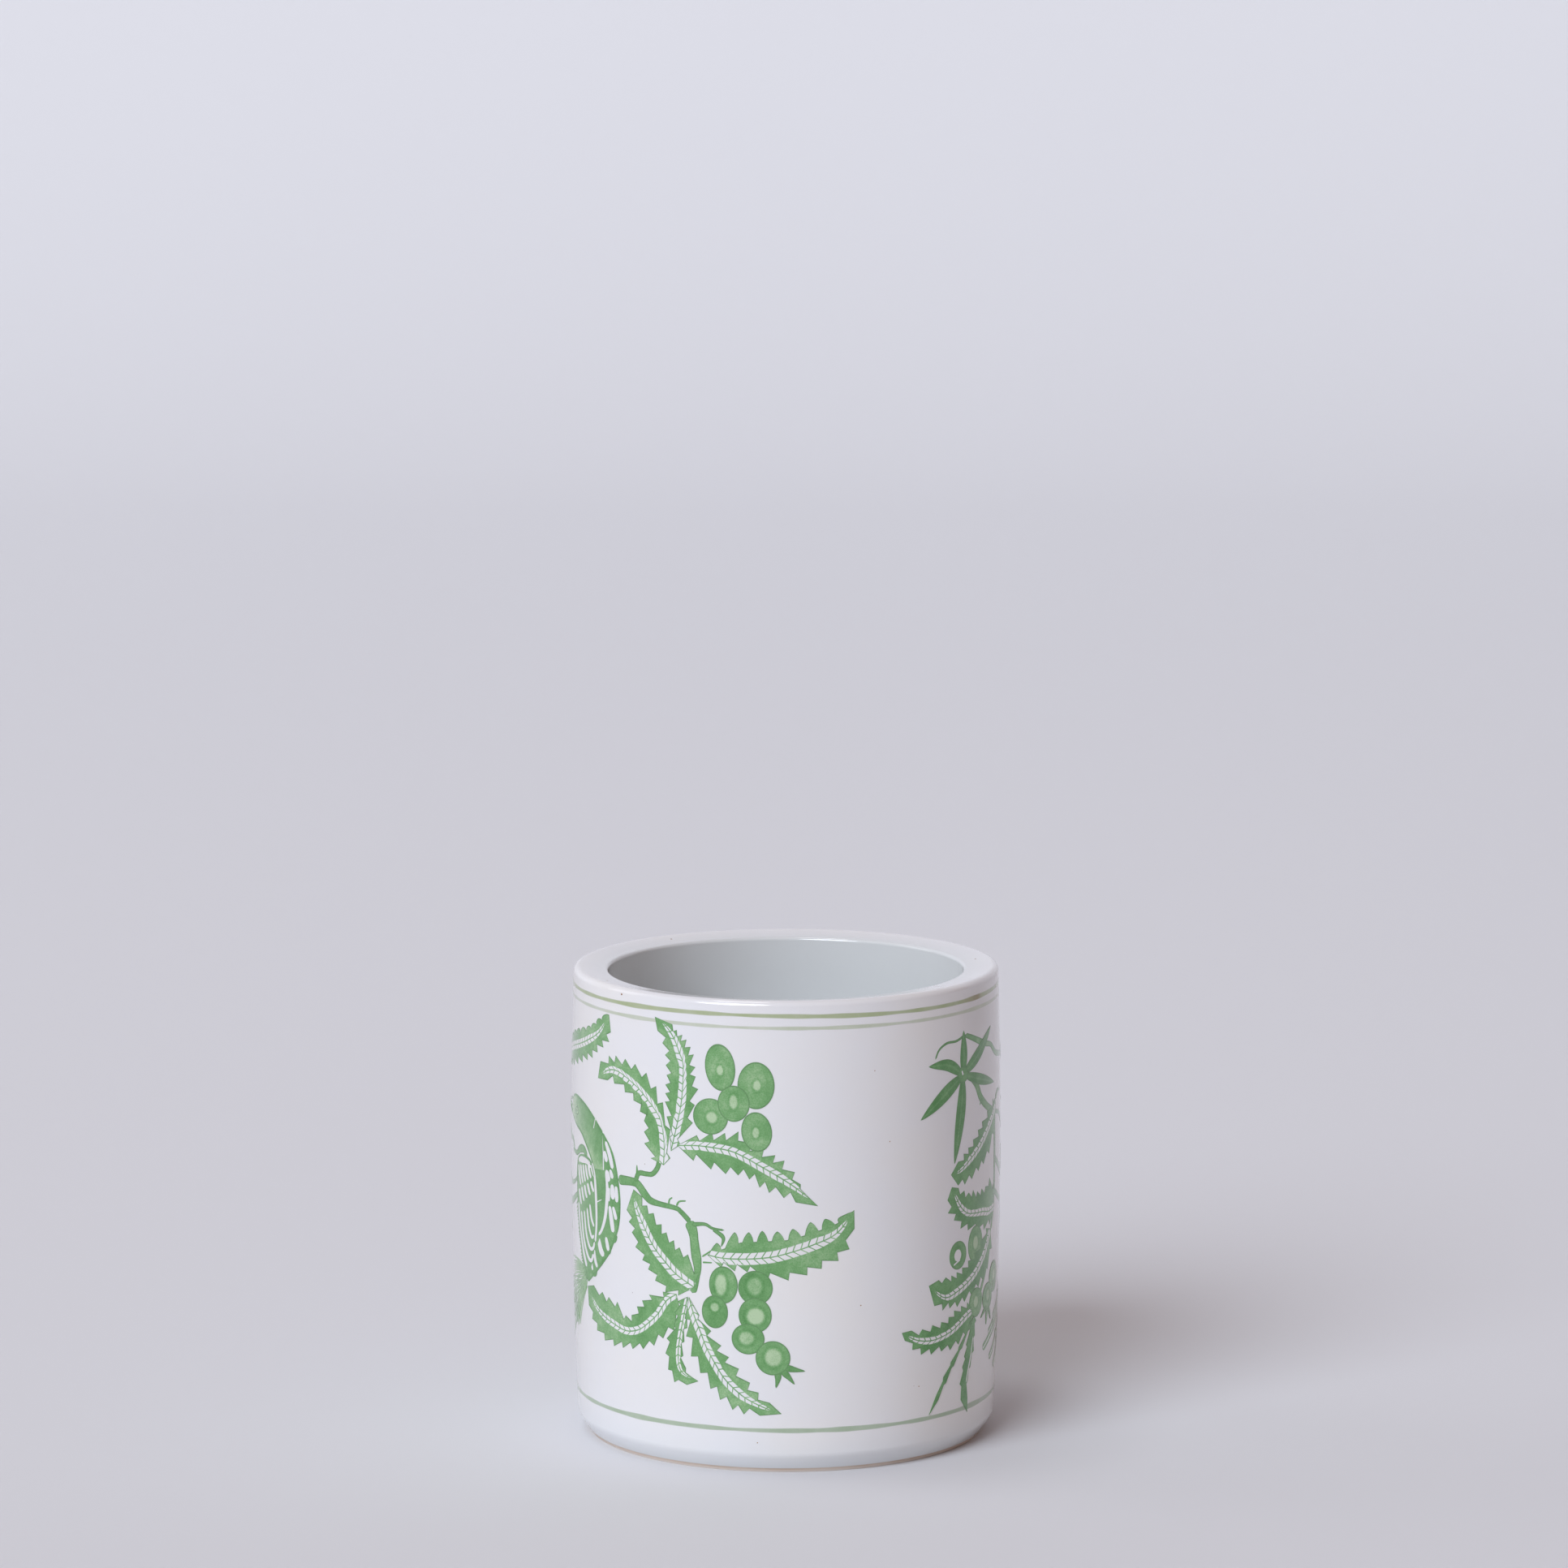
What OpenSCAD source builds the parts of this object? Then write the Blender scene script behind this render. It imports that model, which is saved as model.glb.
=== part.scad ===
// Porcelain brush holder pot: a thick-walled open cylinder on a turned foot,
// glazed inside and out, banded at rim and foot, with the same printed
// bird-and-fruit decoration laid twice around the wall.
// Origin at the centre of the foot's rest plane, +Z up, the front towards -Y.

/* [Pot] */
// Greatest diameter, over the glaze
pot_d = 120; // [95:1:150]
// Height from the rest plane to the top of the rim
pot_h = 132; // [108:1:165]
// Thickness of the wall at the belly, over the glaze
wall_t = 10.5; // [8:0.25:14]
// Thickness of the floor at its middle
floor_t = 9; // [7:0.5:14]
// Height at which the wall is widest
belly_z = 84; // [66:1:98]
// How far the wall draws in from the belly to the rim, in radius
rim_draw = 0.75; // [0:0.05:1.5]
// How far the wall draws in from the belly to the foot ridge, in radius
foot_draw = 1.5; // [0:0.05:2.5]
// Radius of the round where the floor meets the well's wall
well_corner_r = 6; // [3:0.5:10]

/* [Rim] */
// Radius of the rim's outer round
rim_outer_r = 1.7; // [1:0.1:3]
// Radius of the rim's inner round
rim_inner_r = 1; // [0.6:0.1:3]
// How far the flat of the rim falls towards the well
rim_fall = 1; // [0:0.1:1.5]

/* [Foot] */
// Height of the bevel above the rest plane
bevel_h = 5.3; // [3:0.1:7]
// How far the bevel cuts in at the rest plane, in radius
bevel_in = 3.1; // [1.5:0.1:5]
// Width of the foot ring's rest face
foot_ring_w = 4.6; // [3:0.1:8]
// Depth of the recess under the floor
recess_h = 3; // [1:0.1:3.8]
// Height of the bare clay band at the foot
bare_h = 1.2; // [0.5:0.1:2.5]

/* [Glaze and colour] */
// Thickness of the glaze coat
glaze_t = 0.3; // [0.2:0.05:0.6]
// Thickness of a fired colour layer
ink_t = 0.12; // [0.1:0.01:0.2]
// Margin between the base glaze and the foot ring's inner wall
base_margin = 1; // [0.5:0.1:3]

/* [Bands] */
// Distance from the rim's top down to the middle of the upper line
upper_line_drop = 4.2; // [3.5:0.1:5.5]
// Width of the upper line
upper_line_w = 1.2; // [0.4:0.1:1.4]
// Distance from the rim's top down to the middle of the lower line
lower_line_drop = 7.4; // [6.5:0.1:9]
// Width of the lower line
lower_line_w = 1; // [0.4:0.1:1.4]
// Height of the middle of the foot line
foot_line_z = 12.5; // [9:0.1:16]
// Width of the foot line
foot_line_w = 1.3; // [0.4:0.1:1.6]

/* [Print] */
// Size of the print, as a share of the largest that the wall takes
print_scale = 1; // [0.8:0.02:1]
// Turn of the first print about the pot, in degrees
print_turn = 0; // [-180:5:180]

/* [Hidden] */

// Radii and heights that follow from the sizes above
pot_r = pot_d / 2;
well_r = pot_r - wall_t;
shoulder_z = pot_h - rim_outer_r;
shoulder_r = pot_r - rim_draw;
ridge_r = pot_r - foot_draw;
foot_r = ridge_r - bevel_in;
ring_r = foot_r - foot_ring_w;
crest_r = (shoulder_r - rim_outer_r + well_r + rim_inner_r) / 2;
crest_z = pot_h - rim_fall / 2;
upper_line_z = pot_h - upper_line_drop;
lower_line_z = pot_h - lower_line_drop;

// Steps of the wall's curve, and of each round
wall_steps = 12;
wall_step = (shoulder_z - bevel_h) / wall_steps;
round_steps = 8;

// The print is drawn on a wall of this radius, between lines at these two heights
drawn_r = 60;
drawn_low = 13.3;
drawn_high = 124.2;
// Room between the print and the lower line and foot line
print_gap = 0.1;
print_low = foot_line_z + foot_line_w / 2 + print_gap;
print_high = lower_line_z - lower_line_w / 2 - print_gap;
print_k = print_scale * min(pot_r / drawn_r, (print_high - print_low) / (drawn_high - drawn_low));
print_mid = (print_low + print_high) / 2;
drawn_mid = (drawn_low + drawn_high) / 2;
// Where along the wall each part of the print is centred
bird_s = -75;
fruit_s = -30;
bamboo_s = -128;
// How far a printed shape reaches inwards and outwards before it is trimmed to the face
reach_in = 45;
reach_out = 5;
// The two prints lie opposite each other
turn_a = print_turn;
turn_b = print_turn + 180;

porcelain = [0.93, 0.90, 0.84];
glaze_white = [0.90, 0.91, 0.93];
leaf_green = [0.44, 0.67, 0.42];
line_olive = [0.62, 0.70, 0.46];
line_pale = [0.74, 0.80, 0.65];
line_grey_green = [0.64, 0.74, 0.62];

// Radius of the wall at a height: it draws in from the belly as the square of the distance
function wall_r(z) = z > belly_z
    ? pot_r - rim_draw * pow((z - belly_z) / (shoulder_z - belly_z), 2)
    : pot_r - foot_draw * pow((belly_z - z) / (belly_z - bevel_h), 2);

// Points of an arc about a centre, from one angle to another
function arc(x, z, r, from, to) = [
    for (i = [0:round_steps]) let (a = from + (to - from) * i / round_steps)
        [x + r * cos(a), z + r * sin(a)]
];

// Height of a step of the wall's curve, and the radius of the glaze's face between the steps
function step_z(i) = bevel_h + wall_step * i;
function face_r(z) = let (i = min(wall_steps - 1, floor((z - bevel_h) / wall_step)))
    wall_r(step_z(i)) + (wall_r(step_z(i + 1)) - wall_r(step_z(i))) * (z - step_z(i)) / wall_step;

// Points up the glaze's face between two heights, a distance proud of it
function face(low, high, proud) = concat(
    [[face_r(low) + proud, low]],
    [for (i = [0:wall_steps]) if (step_z(i) > low && step_z(i) < high)
        [wall_r(step_z(i)) + proud, step_z(i)]],
    [[face_r(high) + proud, high]]
);

// Bevel's radius at a height, for a surface that lies a given depth under the glaze's face
function bevel_r(z, depth) = foot_r + bevel_in * z / bevel_h - depth;

// Outside of the pot from the top of the bevel to the flat of the rim, a depth under its face
function outside(depth) = concat(
    [for (i = [0:wall_steps - 1]) [wall_r(step_z(i)) - depth, step_z(i)]],
    arc(shoulder_r - rim_outer_r, shoulder_z, rim_outer_r - depth, 0, 90)
);

// Inside of the pot from the flat of the rim to the middle of the floor, a depth under its face
function inside(depth) = concat(
    arc(well_r + rim_inner_r, pot_h - rim_fall - rim_inner_r, rim_inner_r - depth, 90, 180),
    arc(well_r - well_corner_r, floor_t + well_corner_r, well_corner_r + depth, 0, -90),
    [[0, floor_t - depth]]
);

function reversed(points) = [for (i = [len(points) - 1:-1:0]) points[i]];

// Cubic curve through its four control points' polygon, and its left-hand normal
function curve(p, t) = pow(1 - t, 3) * p[0] + 3 * t * pow(1 - t, 2) * p[1]
    + 3 * t * t * (1 - t) * p[2] + pow(t, 3) * p[3];
function slope(p, t) = 3 * pow(1 - t, 2) * (p[1] - p[0]) + 6 * t * (1 - t) * (p[2] - p[1])
    + 3 * t * t * (p[3] - p[2]);
function normal(p, t) = let (d = slope(p, t)) [-d[1], d[0]] / norm(d);

module porcelain_body() {
    color(porcelain) rotate_extrude($fn = 180) polygon(concat(
        [[ring_r, 0], [foot_r - glaze_t, 0]],
        outside(glaze_t),
        inside(glaze_t),
        [[0, recess_h + glaze_t], [ring_r, recess_h + glaze_t]]
    ));
}

module outer_glaze() {
    color(glaze_white) rotate_extrude($fn = 180) polygon(concat(
        [[bevel_r(bare_h, glaze_t), bare_h], [bevel_r(bare_h, 0), bare_h]],
        outside(0),
        [[crest_r, crest_z], [crest_r, crest_z - glaze_t]],
        reversed(outside(glaze_t))
    ));
}

module inner_glaze() {
    color(glaze_white) rotate_extrude($fn = 180)
        polygon(concat(
            [[crest_r, crest_z - glaze_t], [crest_r, crest_z]],
            inside(0),
            reversed(inside(glaze_t))
        ));
}

module base_glaze() {
    color(glaze_white) translate([0, 0, recess_h])
        cylinder(r = ring_r - base_margin, h = glaze_t, $fn = 180);
}

// A coat of colour on the glaze's face, between two heights
module coat(low, high) {
    rotate_extrude($fn = 180) polygon(concat(face(low, high, 0), reversed(face(low, high, ink_t))));
}

// A banded line, centred at height z
module band(z, w) {
    coat(z - w / 2, z + w / 2);
}

module rim_line_upper() {
    color(line_olive) band(upper_line_z, upper_line_w);
}

module rim_line_lower() {
    color(line_pale) band(lower_line_z, lower_line_w);
}

module foot_line() {
    color(line_grey_green) band(foot_line_z, foot_line_w);
}

// The print is drawn flat, with points [along the wall, up the wall], and each part of it is laid
// on the face about its own centre: a point's place across the centre's plane is its radius times
// the sine of its angle from there.
function laid(p) = [
    pot_r * sin((p[0] - $centre) * print_k / pot_r * 180 / PI),
    print_mid + (p[1] - drawn_mid) * print_k
];

module lay(centre, turn) {
    $centre = centre;
    intersection() {
        coat(print_low, print_high);
        rotate([0, 0, turn + centre * print_k / pot_r * 180 / PI])
            translate([0, reach_in - pot_r, 0]) rotate([90, 0, 0])
                linear_extrude(height = reach_in + reach_out) children();
    }
}

module shape(points) {
    polygon([for (p = points) laid(p)]);
}

// Half-width along a leaf: blunt where it leaves the twig, pointed at its tip
function leaf_half(w, t) = w * pow(4 * (0.12 + 0.88 * t) * (0.88 - 0.88 * t), 0.6);

// One margin of a toothed leaf, every second point drawn in between the teeth
function margin(p, w, teeth, side) = [
    for (i = [0:2 * teeth - 1]) let (t = i / (2 * teeth), notch = i % 2 == 0 ? 0.75 : 1)
        curve(p, t) + side * notch * leaf_half(w, t) * normal(p, t)
];

// A toothed leaf along a curve, w being half its width
module leaf(p, w, teeth) {
    shape(concat(margin(p, w, teeth, 1), [p[3]], reversed(margin(p, w, teeth, -1))));
}

// A smooth blade, pointed at both ends: a bamboo leaf or a feather
module blade(p, w) {
    n = 8;
    shape(concat(
        [for (i = [0:n]) curve(p, i / n) + w * sin(180 * i / n) * normal(p, i / n)],
        [for (i = [n - 1:-1:1]) curve(p, i / n) - w * sin(180 * i / n) * normal(p, i / n)]
    ));
}

// A twig along a curve, its half-width going from w0 to w1
module twig(p, w0, w1) {
    n = 6;
    shape(concat(
        [for (i = [0:n]) curve(p, i / n) + (w0 + (w1 - w0) * i / n) * normal(p, i / n)],
        [for (i = [n:-1:0]) curve(p, i / n) - (w0 + (w1 - w0) * i / n) * normal(p, i / n)]
    ));
}

// A berry: an oval about its centre
module berry(s, z, rs, rz) {
    shape([for (a = [0:20:340]) [s + rs * cos(a), z + rz * sin(a)]]);
}

// The little crown at the end of a berry: three sepals from one point
module crown(s, z, tips) {
    for (tip = tips) blade([[s, z], [s, z] * 2 / 3 + tip / 3, [s, z] / 3 + tip * 2 / 3, tip], 0.9);
}

module bird_drawing() {
    // Head and neck, body, and the beak
    blade([[-86, 93], [-76, 101], [-62, 94], [-57, 79]], 5);
    blade([[-68, 88], [-58, 78], [-62, 60], [-71, 46]], 10);
    blade([[-84, 96], [-87, 96], [-89, 95], [-92, 93]], 1);
    // Tail feathers, fanned from the rump
    for (i = [0:4])
        blade([[-69, 50], [-75, 47 - i], [-82, 44 - 2 * i], [-93 + 3 * i, 38 - 2 * i]], 1.8);
}

module upper_drawing() {
    leaf([[-35, 87], [-35, 99], [-43, 112], [-62, 106]], 5.5, 9);
    leaf([[-31, 95], [-28, 106], [-30, 118], [-38, 125]], 4.6, 8);
    leaf([[-30, 91], [-16, 96], [-4, 86], [8.5, 76]], 4.5, 9);
    blade([[-31, 88], [-31, 95], [-27, 96], [-24, 103]], 3);
    twig([[-46, 79], [-43, 85], [-39, 79], [-36.5, 88]], 0.9, 0.8);
    berry(-18.5, 113, 4.1, 6.6);
    berry(-8.5, 109, 5, 6.3);
    berry(-14.5, 103.5, 4.4, 5);
    berry(-21, 100, 5, 5);
    berry(-8, 96, 4.1, 5.3);
}

module lower_drawing() {
    leaf([[-25, 53], [-35, 56], [-42, 66], [-46, 76]], 5.2, 9);
    leaf([[-22, 61], [-8, 60.5], [6, 63], [18.5, 73.5]], 4.8, 9);
    leaf([[-31, 50], [-42, 34], [-56, 32], [-69, 44.5]], 4.4, 12);
    leaf([[-29, 48], [-33, 40], [-32, 26], [-25, 26]], 2.4, 6);
    leaf([[-27, 50], [-24, 36], [-14, 20], [-1.5, 18]], 4.2, 10);
    twig([[-52, 77.5], [-48, 80], [-44, 79], [-41, 75.5]], 1.4, 1);
    twig([[-41.5, 75.8], [-36, 73.5], [-31, 75], [-27, 68]], 1, 1.2);
    twig([[-27, 69], [-23, 66], [-27, 58], [-25, 51]], 1.4, 0.9);
    twig([[-27, 69], [-22, 68], [-18, 70], [-19, 62]], 0.9, 0.6);
    twig([[-25, 54], [-27, 51], [-28, 50], [-29, 47]], 1, 0.9);
    berry(-17.5, 53.5, 4, 5.2);
    berry(-8.5, 53.5, 4.7, 5.2);
    berry(-20, 46, 3.8, 4.8);
    berry(-8.5, 45, 4.6, 4.8);
    berry(-10.5, 38.5, 4.5, 4.2);
    berry(-4, 33.5, 4.6, 4.6);
    crown(-1, 32, [[5, 30], [2, 26], [-3, 25.5]]);
}

module bamboo_drawing() {
    blade([[-133, 108], [-137, 114], [-142, 115], [-146, 111.5]], 2.2);
    blade([[-132, 107], [-139, 106], [-144, 101], [-149, 97]], 2.2);
    blade([[-131, 106], [-133, 99], [-136, 94], [-136, 83.5]], 2.4);
    blade([[-131, 106], [-124, 109], [-119, 104], [-112.5, 102]], 2.2);
    blade([[-131, 106], [-126, 112], [-120, 113], [-115, 118]], 2.2);
    twig([[-131.5, 105], [-131, 110], [-131.5, 115], [-131.5, 119]], 1.7, 1.4);
    twig([[-144, 113], [-140, 119], [-131, 117], [-120, 114]], 0.4, 1);
    twig([[-121, 114.5], [-113, 113], [-109, 108], [-98, 108]], 1, 0.7);
    leaf([[-98, 107], [-85, 108], [-70, 113], [-57.5, 123]], 4.2, 10);
}

module hanging_drawing() {
    twig([[-126.5, 104], [-123, 98], [-118, 96], [-110, 97]], 1.2, 1.2);
    twig([[-110, 99], [-112, 88], [-108, 76], [-111, 62]], 1.1, 1);
    twig([[-111, 62], [-113, 52], [-122, 46], [-126, 38]], 0.9, 0.7);
    leaf([[-110, 98], [-118, 90], [-127, 84], [-137, 80.5]], 4, 9);
    leaf([[-110, 66], [-121, 66], [-131, 67], [-137, 76]], 4.2, 9);
    leaf([[-113, 60], [-122, 50], [-134, 44], [-145.5, 50]], 3.4, 10);
    leaf([[-125, 40], [-134, 35], [-145, 34], [-154.5, 38]], 3.2, 10);
    blade([[-127, 39], [-133, 29], [-139, 24], [-145, 13.5]], 1.5);
    blade([[-125, 39], [-126, 30], [-129, 22], [-128, 11.5]], 1.8);
    berry(-124.5, 59.5, 4.3, 5.4);
    berry(-124.5, 43, 3.6, 4.6);
    berry(-115.5, 41.5, 3.7, 4.6);
    crown(-116, 38, [[-119.5, 35], [-115.5, 33.5], [-112, 36]]);
    difference() {
        berry(-134, 57.5, 3.9, 4);
        berry(-134, 57.5, 1.6, 2);
    }
}

module bird(turn) {
    color(leaf_green) lay(bird_s, turn) bird_drawing();
}

module upper_spray(turn) {
    color(leaf_green) lay(fruit_s, turn) difference() {
        upper_drawing();
        lower_drawing();
    }
}

module lower_spray(turn) {
    color(leaf_green) lay(fruit_s, turn) lower_drawing();
}

module bamboo(turn) {
    color(leaf_green) lay(bamboo_s, turn) bamboo_drawing();
}

module hanging_spray(turn) {
    color(leaf_green) lay(bamboo_s, turn) difference() {
        hanging_drawing();
        bamboo_drawing();
    }
}

porcelain_body();
outer_glaze();
inner_glaze();
base_glaze();
rim_line_upper();
rim_line_lower();
foot_line();
bird(turn_a);  // bird_a
upper_spray(turn_a);  // upper_spray_a
lower_spray(turn_a);  // lower_spray_a
bamboo(turn_a);  // bamboo_a
hanging_spray(turn_a);  // hanging_spray_a
bird(turn_b);  // bird_b
upper_spray(turn_b);  // upper_spray_b
lower_spray(turn_b);  // lower_spray_b
bamboo(turn_b);  // bamboo_b
hanging_spray(turn_b);  // hanging_spray_b
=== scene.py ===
"""Looks of a porcelain brush holder pot: glaze, bare foot, banded lines and a green transfer print."""
import logging
import math
from dataclasses import dataclass, field
from enum import Enum
from typing import Any, Sequence

import bmesh
import bpy
import numpy as np
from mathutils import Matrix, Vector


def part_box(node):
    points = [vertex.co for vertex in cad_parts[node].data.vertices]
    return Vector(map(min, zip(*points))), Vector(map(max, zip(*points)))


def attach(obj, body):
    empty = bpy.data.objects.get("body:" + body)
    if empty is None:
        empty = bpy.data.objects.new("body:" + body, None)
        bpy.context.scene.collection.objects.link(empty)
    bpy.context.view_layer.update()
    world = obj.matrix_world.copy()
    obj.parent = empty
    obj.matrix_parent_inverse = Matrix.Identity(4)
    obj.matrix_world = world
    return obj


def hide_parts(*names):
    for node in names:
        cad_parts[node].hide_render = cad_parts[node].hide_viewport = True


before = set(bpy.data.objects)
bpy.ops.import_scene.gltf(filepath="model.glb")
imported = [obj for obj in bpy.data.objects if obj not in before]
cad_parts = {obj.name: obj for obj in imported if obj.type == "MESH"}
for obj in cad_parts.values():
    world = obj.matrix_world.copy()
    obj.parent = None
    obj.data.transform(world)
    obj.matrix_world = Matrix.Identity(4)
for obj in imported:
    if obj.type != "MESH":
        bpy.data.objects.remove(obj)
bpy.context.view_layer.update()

LOG = logging.getLogger("brush_pot")
MM = 0.001
# Radius, in mm, on which distances round the wall are measured, and half of the way round it
DRAWN_R = 60.0
HALF_TURN = math.pi * DRAWN_R
# A share of the channel's width that is well outside it
FAR = 9.0
# Greatest gap, in metres, between points that are one point
SAME = 2e-7
# Numbers of samples: on a leaf's midrib, and along a smooth leaf or a patch
SPINE, ALONG = 240, 48
Point = tuple[float, float]
Points = Sequence[Point]
Tree = bpy.types.NodeTree
Socket = bpy.types.NodeSocket


# ---------------------------------------------------------------- the pot's form

@dataclass(frozen=True)
class PotForm:
    """The turned form of the pot, in millimetres, with the glaze on it.

    The wall's radius draws in from the belly as the square of the distance, to the rim and to the foot ridge.
    The rim is rounded outside, falls straight by rim_fall towards the well, and is rounded again inside.
    """

    radius: float
    height: float
    belly_z: float = 84.0
    rim_draw: float = 0.75
    foot_draw: float = 1.5
    rim_outer: float = 1.7
    rim_inner: float = 1.0
    rim_fall: float = 1.0
    well_r: float = 49.5
    floor_z: float = 9.0
    corner: float = 6.0
    bevel_h: float = 5.3
    bevel_in: float = 3.1
    bare_h: float = 1.2
    ring_w: float = 4.6
    recess: float = 3.0
    coat: float = 0.3
    # How far the rim is out of true: its drop at the left, and its further drop at the back
    lean: float = 0.2
    sag: float = 0.6

    @property
    def shoulder_z(self) -> float:
        """Height at which the wall runs into the rim's outer round."""
        return self.height - self.rim_outer

    @property
    def well_top(self) -> float:
        """Height at which the well's wall runs into the rim's inner round."""
        return self.height - self.rim_fall - self.rim_inner

    def wall(self, z: np.ndarray) -> np.ndarray:
        """Radius of the glazed wall at each height.

        Args:
            z: Heights.

        Returns:
            Radii of the same shape.
        """
        above = self.rim_draw * ((z - self.belly_z) / (self.shoulder_z - self.belly_z)) ** 2
        below = self.foot_draw * ((self.belly_z - z) / (self.belly_z - self.bevel_h)) ** 2
        return self.radius - np.where(z > self.belly_z, above, below)

    def place(self, around: np.ndarray, r: np.ndarray, z: np.ndarray) -> np.ndarray:
        """Turns angle, radius and height into metres: x is r sin a and y is minus r cos a.

        A point drops by a share of its height that grows as the fourth power: by the lean at the rim's left,
        and by the sag at its back, which grows as the square of how far round the back the point is.

        Args:
            around: Angles from the front, in radians.
            r: Radii.
            z: Heights.

        Returns:
            An array of points with a last axis of three.
        """
        drop = self.lean * (1 - np.sin(around)) / 2 + self.sag * ((1 - np.cos(around)) / 2) ** 2
        lift = -drop * (np.clip(z, 0, None) / self.height) ** 4
        return np.stack([r * np.sin(around), -r * np.cos(around), z + lift], -1) * MM

    def rim_flat(self, r: np.ndarray) -> np.ndarray:
        """Height of the rim's flat at each radius: a straight fall between its two rounds."""
        outer, inner = self.radius - self.rim_draw - self.rim_outer, self.well_r + self.rim_inner
        return self.height - self.rim_fall * np.clip((outer - r) / (outer - inner), 0, 1)

    def outer_profile(self) -> np.ndarray:
        """Glazed face from the bare foot up the wall, over the rim, down the well and across its floor."""
        ridge = float(self.wall(np.array(self.bevel_h)))
        foot = ridge - self.bevel_in + self.bevel_in * self.bare_h / self.bevel_h
        side = np.linspace(self.bevel_h + 0.9, self.shoulder_z, 54)
        shoulder = float(self.wall(np.array(self.shoulder_z)))
        corner_z = self.floor_z + self.corner
        flat = np.linspace(shoulder - self.rim_outer, self.well_r + self.rim_inner, 8)[1:-1]
        lip = (foot, self.bare_h + 0.25)
        return np.vstack([
            [(foot - self.coat, self.bare_h), lip],
            rounded([lip, (ridge, self.bevel_h), (float(self.wall(side[0])), side[0])], 9)[1:],
            np.stack([self.wall(side), side], -1)[1:],
            arc(shoulder - self.rim_outer, self.shoulder_z, self.rim_outer, 0, 90, 12)[1:],
            np.stack([flat, self.rim_flat(flat)], -1),
            arc(self.well_r + self.rim_inner, self.well_top, self.rim_inner, 90, 180, 10),
            np.stack([np.full(14, self.well_r), np.linspace(self.well_top, corner_z, 14)], -1)[1:],
            arc(self.well_r - self.corner, corner_z, self.corner, 360, 270, 10)[1:],
            [(30.0, self.floor_z), (15.0, self.floor_z), (0.0, self.floor_z)],
        ])


def arc(x: float, z: float, r: float, start: float, end: float, steps: int) -> np.ndarray:
    """Points of a circle's arc about (x, z), from one angle to another in degrees."""
    a = np.radians(np.linspace(start, end, steps + 1))
    return np.stack([x + r * np.cos(a), z + r * np.sin(a)], -1)


def rounded(points: Points, steps: int) -> np.ndarray:
    """A corner with a soft nose: a quadratic curve that starts and ends near the corner on its two sides.

    Args:
        points: Start, corner and end.
        steps: Number of pieces.

    Returns:
        Points of the softened corner.
    """
    a, b, c = (np.array(p, float) for p in points)
    near_a, near_c = b + (a - b) * 0.25, b + (c - b) * 0.9
    t = np.linspace(0, 1, steps)[:, None]
    nose = (1 - t) ** 2 * near_a + 2 * t * (1 - t) * b + t ** 2 * near_c
    return np.vstack([a[None], nose, c[None]])


def curve(points: Points, count: int) -> np.ndarray:
    """Smooth curve through given points, at equal steps of length.

    Each stretch is the cubic whose slope at a point is half the way between its neighbours.

    Args:
        points: Two or more points.
        count: Number of samples.

    Returns:
        An array of count points.
    """
    p = np.array(points, float)
    if len(p) == 2:
        return p[0] + (p[1] - p[0]) * np.linspace(0, 1, count)[:, None]
    q = np.vstack([2 * p[0] - p[1], p, 2 * p[-1] - p[-2]])
    t = np.linspace(0, len(p) - 1 - 1e-9, 24 * (len(p) - 1) + 1)
    i = t.astype(int)
    f = (t - i)[:, None]
    a, b, c, d = q[i], q[i + 1], q[i + 2], q[i + 3]
    cubic = (2 * a - 5 * b + 4 * c - d) * f ** 2 + (3 * b - a - 3 * c + d) * f ** 3
    dense = 0.5 * (2 * b + (c - a) * f + cubic)
    run = length_along(dense)
    return read_along(np.linspace(0, run[-1], count), run, dense)


def length_along(p: np.ndarray) -> np.ndarray:
    """Length from the first point to each point of a line."""
    return np.concatenate([[0], np.cumsum(np.linalg.norm(np.diff(p, axis=0), axis=1))])


def read_along(at: np.ndarray, marks: np.ndarray, line: np.ndarray) -> np.ndarray:
    """Places on a line, straight between its points, at values of the marks that number the points."""
    return np.stack([np.interp(at, marks, line[:, k]) for k in range(2)], -1)


def left_of(line: np.ndarray) -> np.ndarray:
    """Unit vectors to the left of a line, one for each of its points."""
    slope = np.gradient(line, axis=0)
    slope /= np.linalg.norm(slope, axis=1, keepdims=True)
    return np.stack([-slope[:, 1], slope[:, 0]], -1)


def full_turn(steps: int) -> np.ndarray:
    """Angles of a whole turn, in radians, without the last one, which is the first again."""
    return np.linspace(0, 2 * math.pi, steps, endpoint=False)


# ---------------------------------------------------------------- meshes

@dataclass
class Shell:
    """Vertices, quads and per-vertex print values that grow patch by patch into one mesh."""

    name: str
    vertices: list[np.ndarray] = field(default_factory=list)
    faces: list[np.ndarray] = field(default_factory=list)
    rib: list[np.ndarray] = field(default_factory=list)
    ink: list[np.ndarray] = field(default_factory=list)
    count: int = 0

    def add(self, points: np.ndarray, faces: np.ndarray, rib: np.ndarray, ink: np.ndarray) -> None:
        """Adds a patch's arrays: points and faces, and the two vectors that its finish reads."""
        self.vertices.append(points.reshape(-1, 3))
        self.faces.append(faces + self.count)
        self.rib.append(rib.reshape(-1, 3))
        self.ink.append(ink.reshape(-1, 3))
        self.count += len(self.vertices[-1])

    def mesh_object(self) -> bpy.types.Object:
        """Makes the object, with the print values as attributes of its vertices."""
        piece = bare_piece(self.name, np.vstack(self.vertices), np.vstack(self.faces))
        for name, parts in (("rib", self.rib), ("ink", self.ink)):
            values = piece.data.attributes.new(name, "FLOAT_VECTOR", "POINT")
            values.data.foreach_set("vector", np.vstack(parts).astype(np.float32).ravel())
        return finished(piece)


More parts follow.
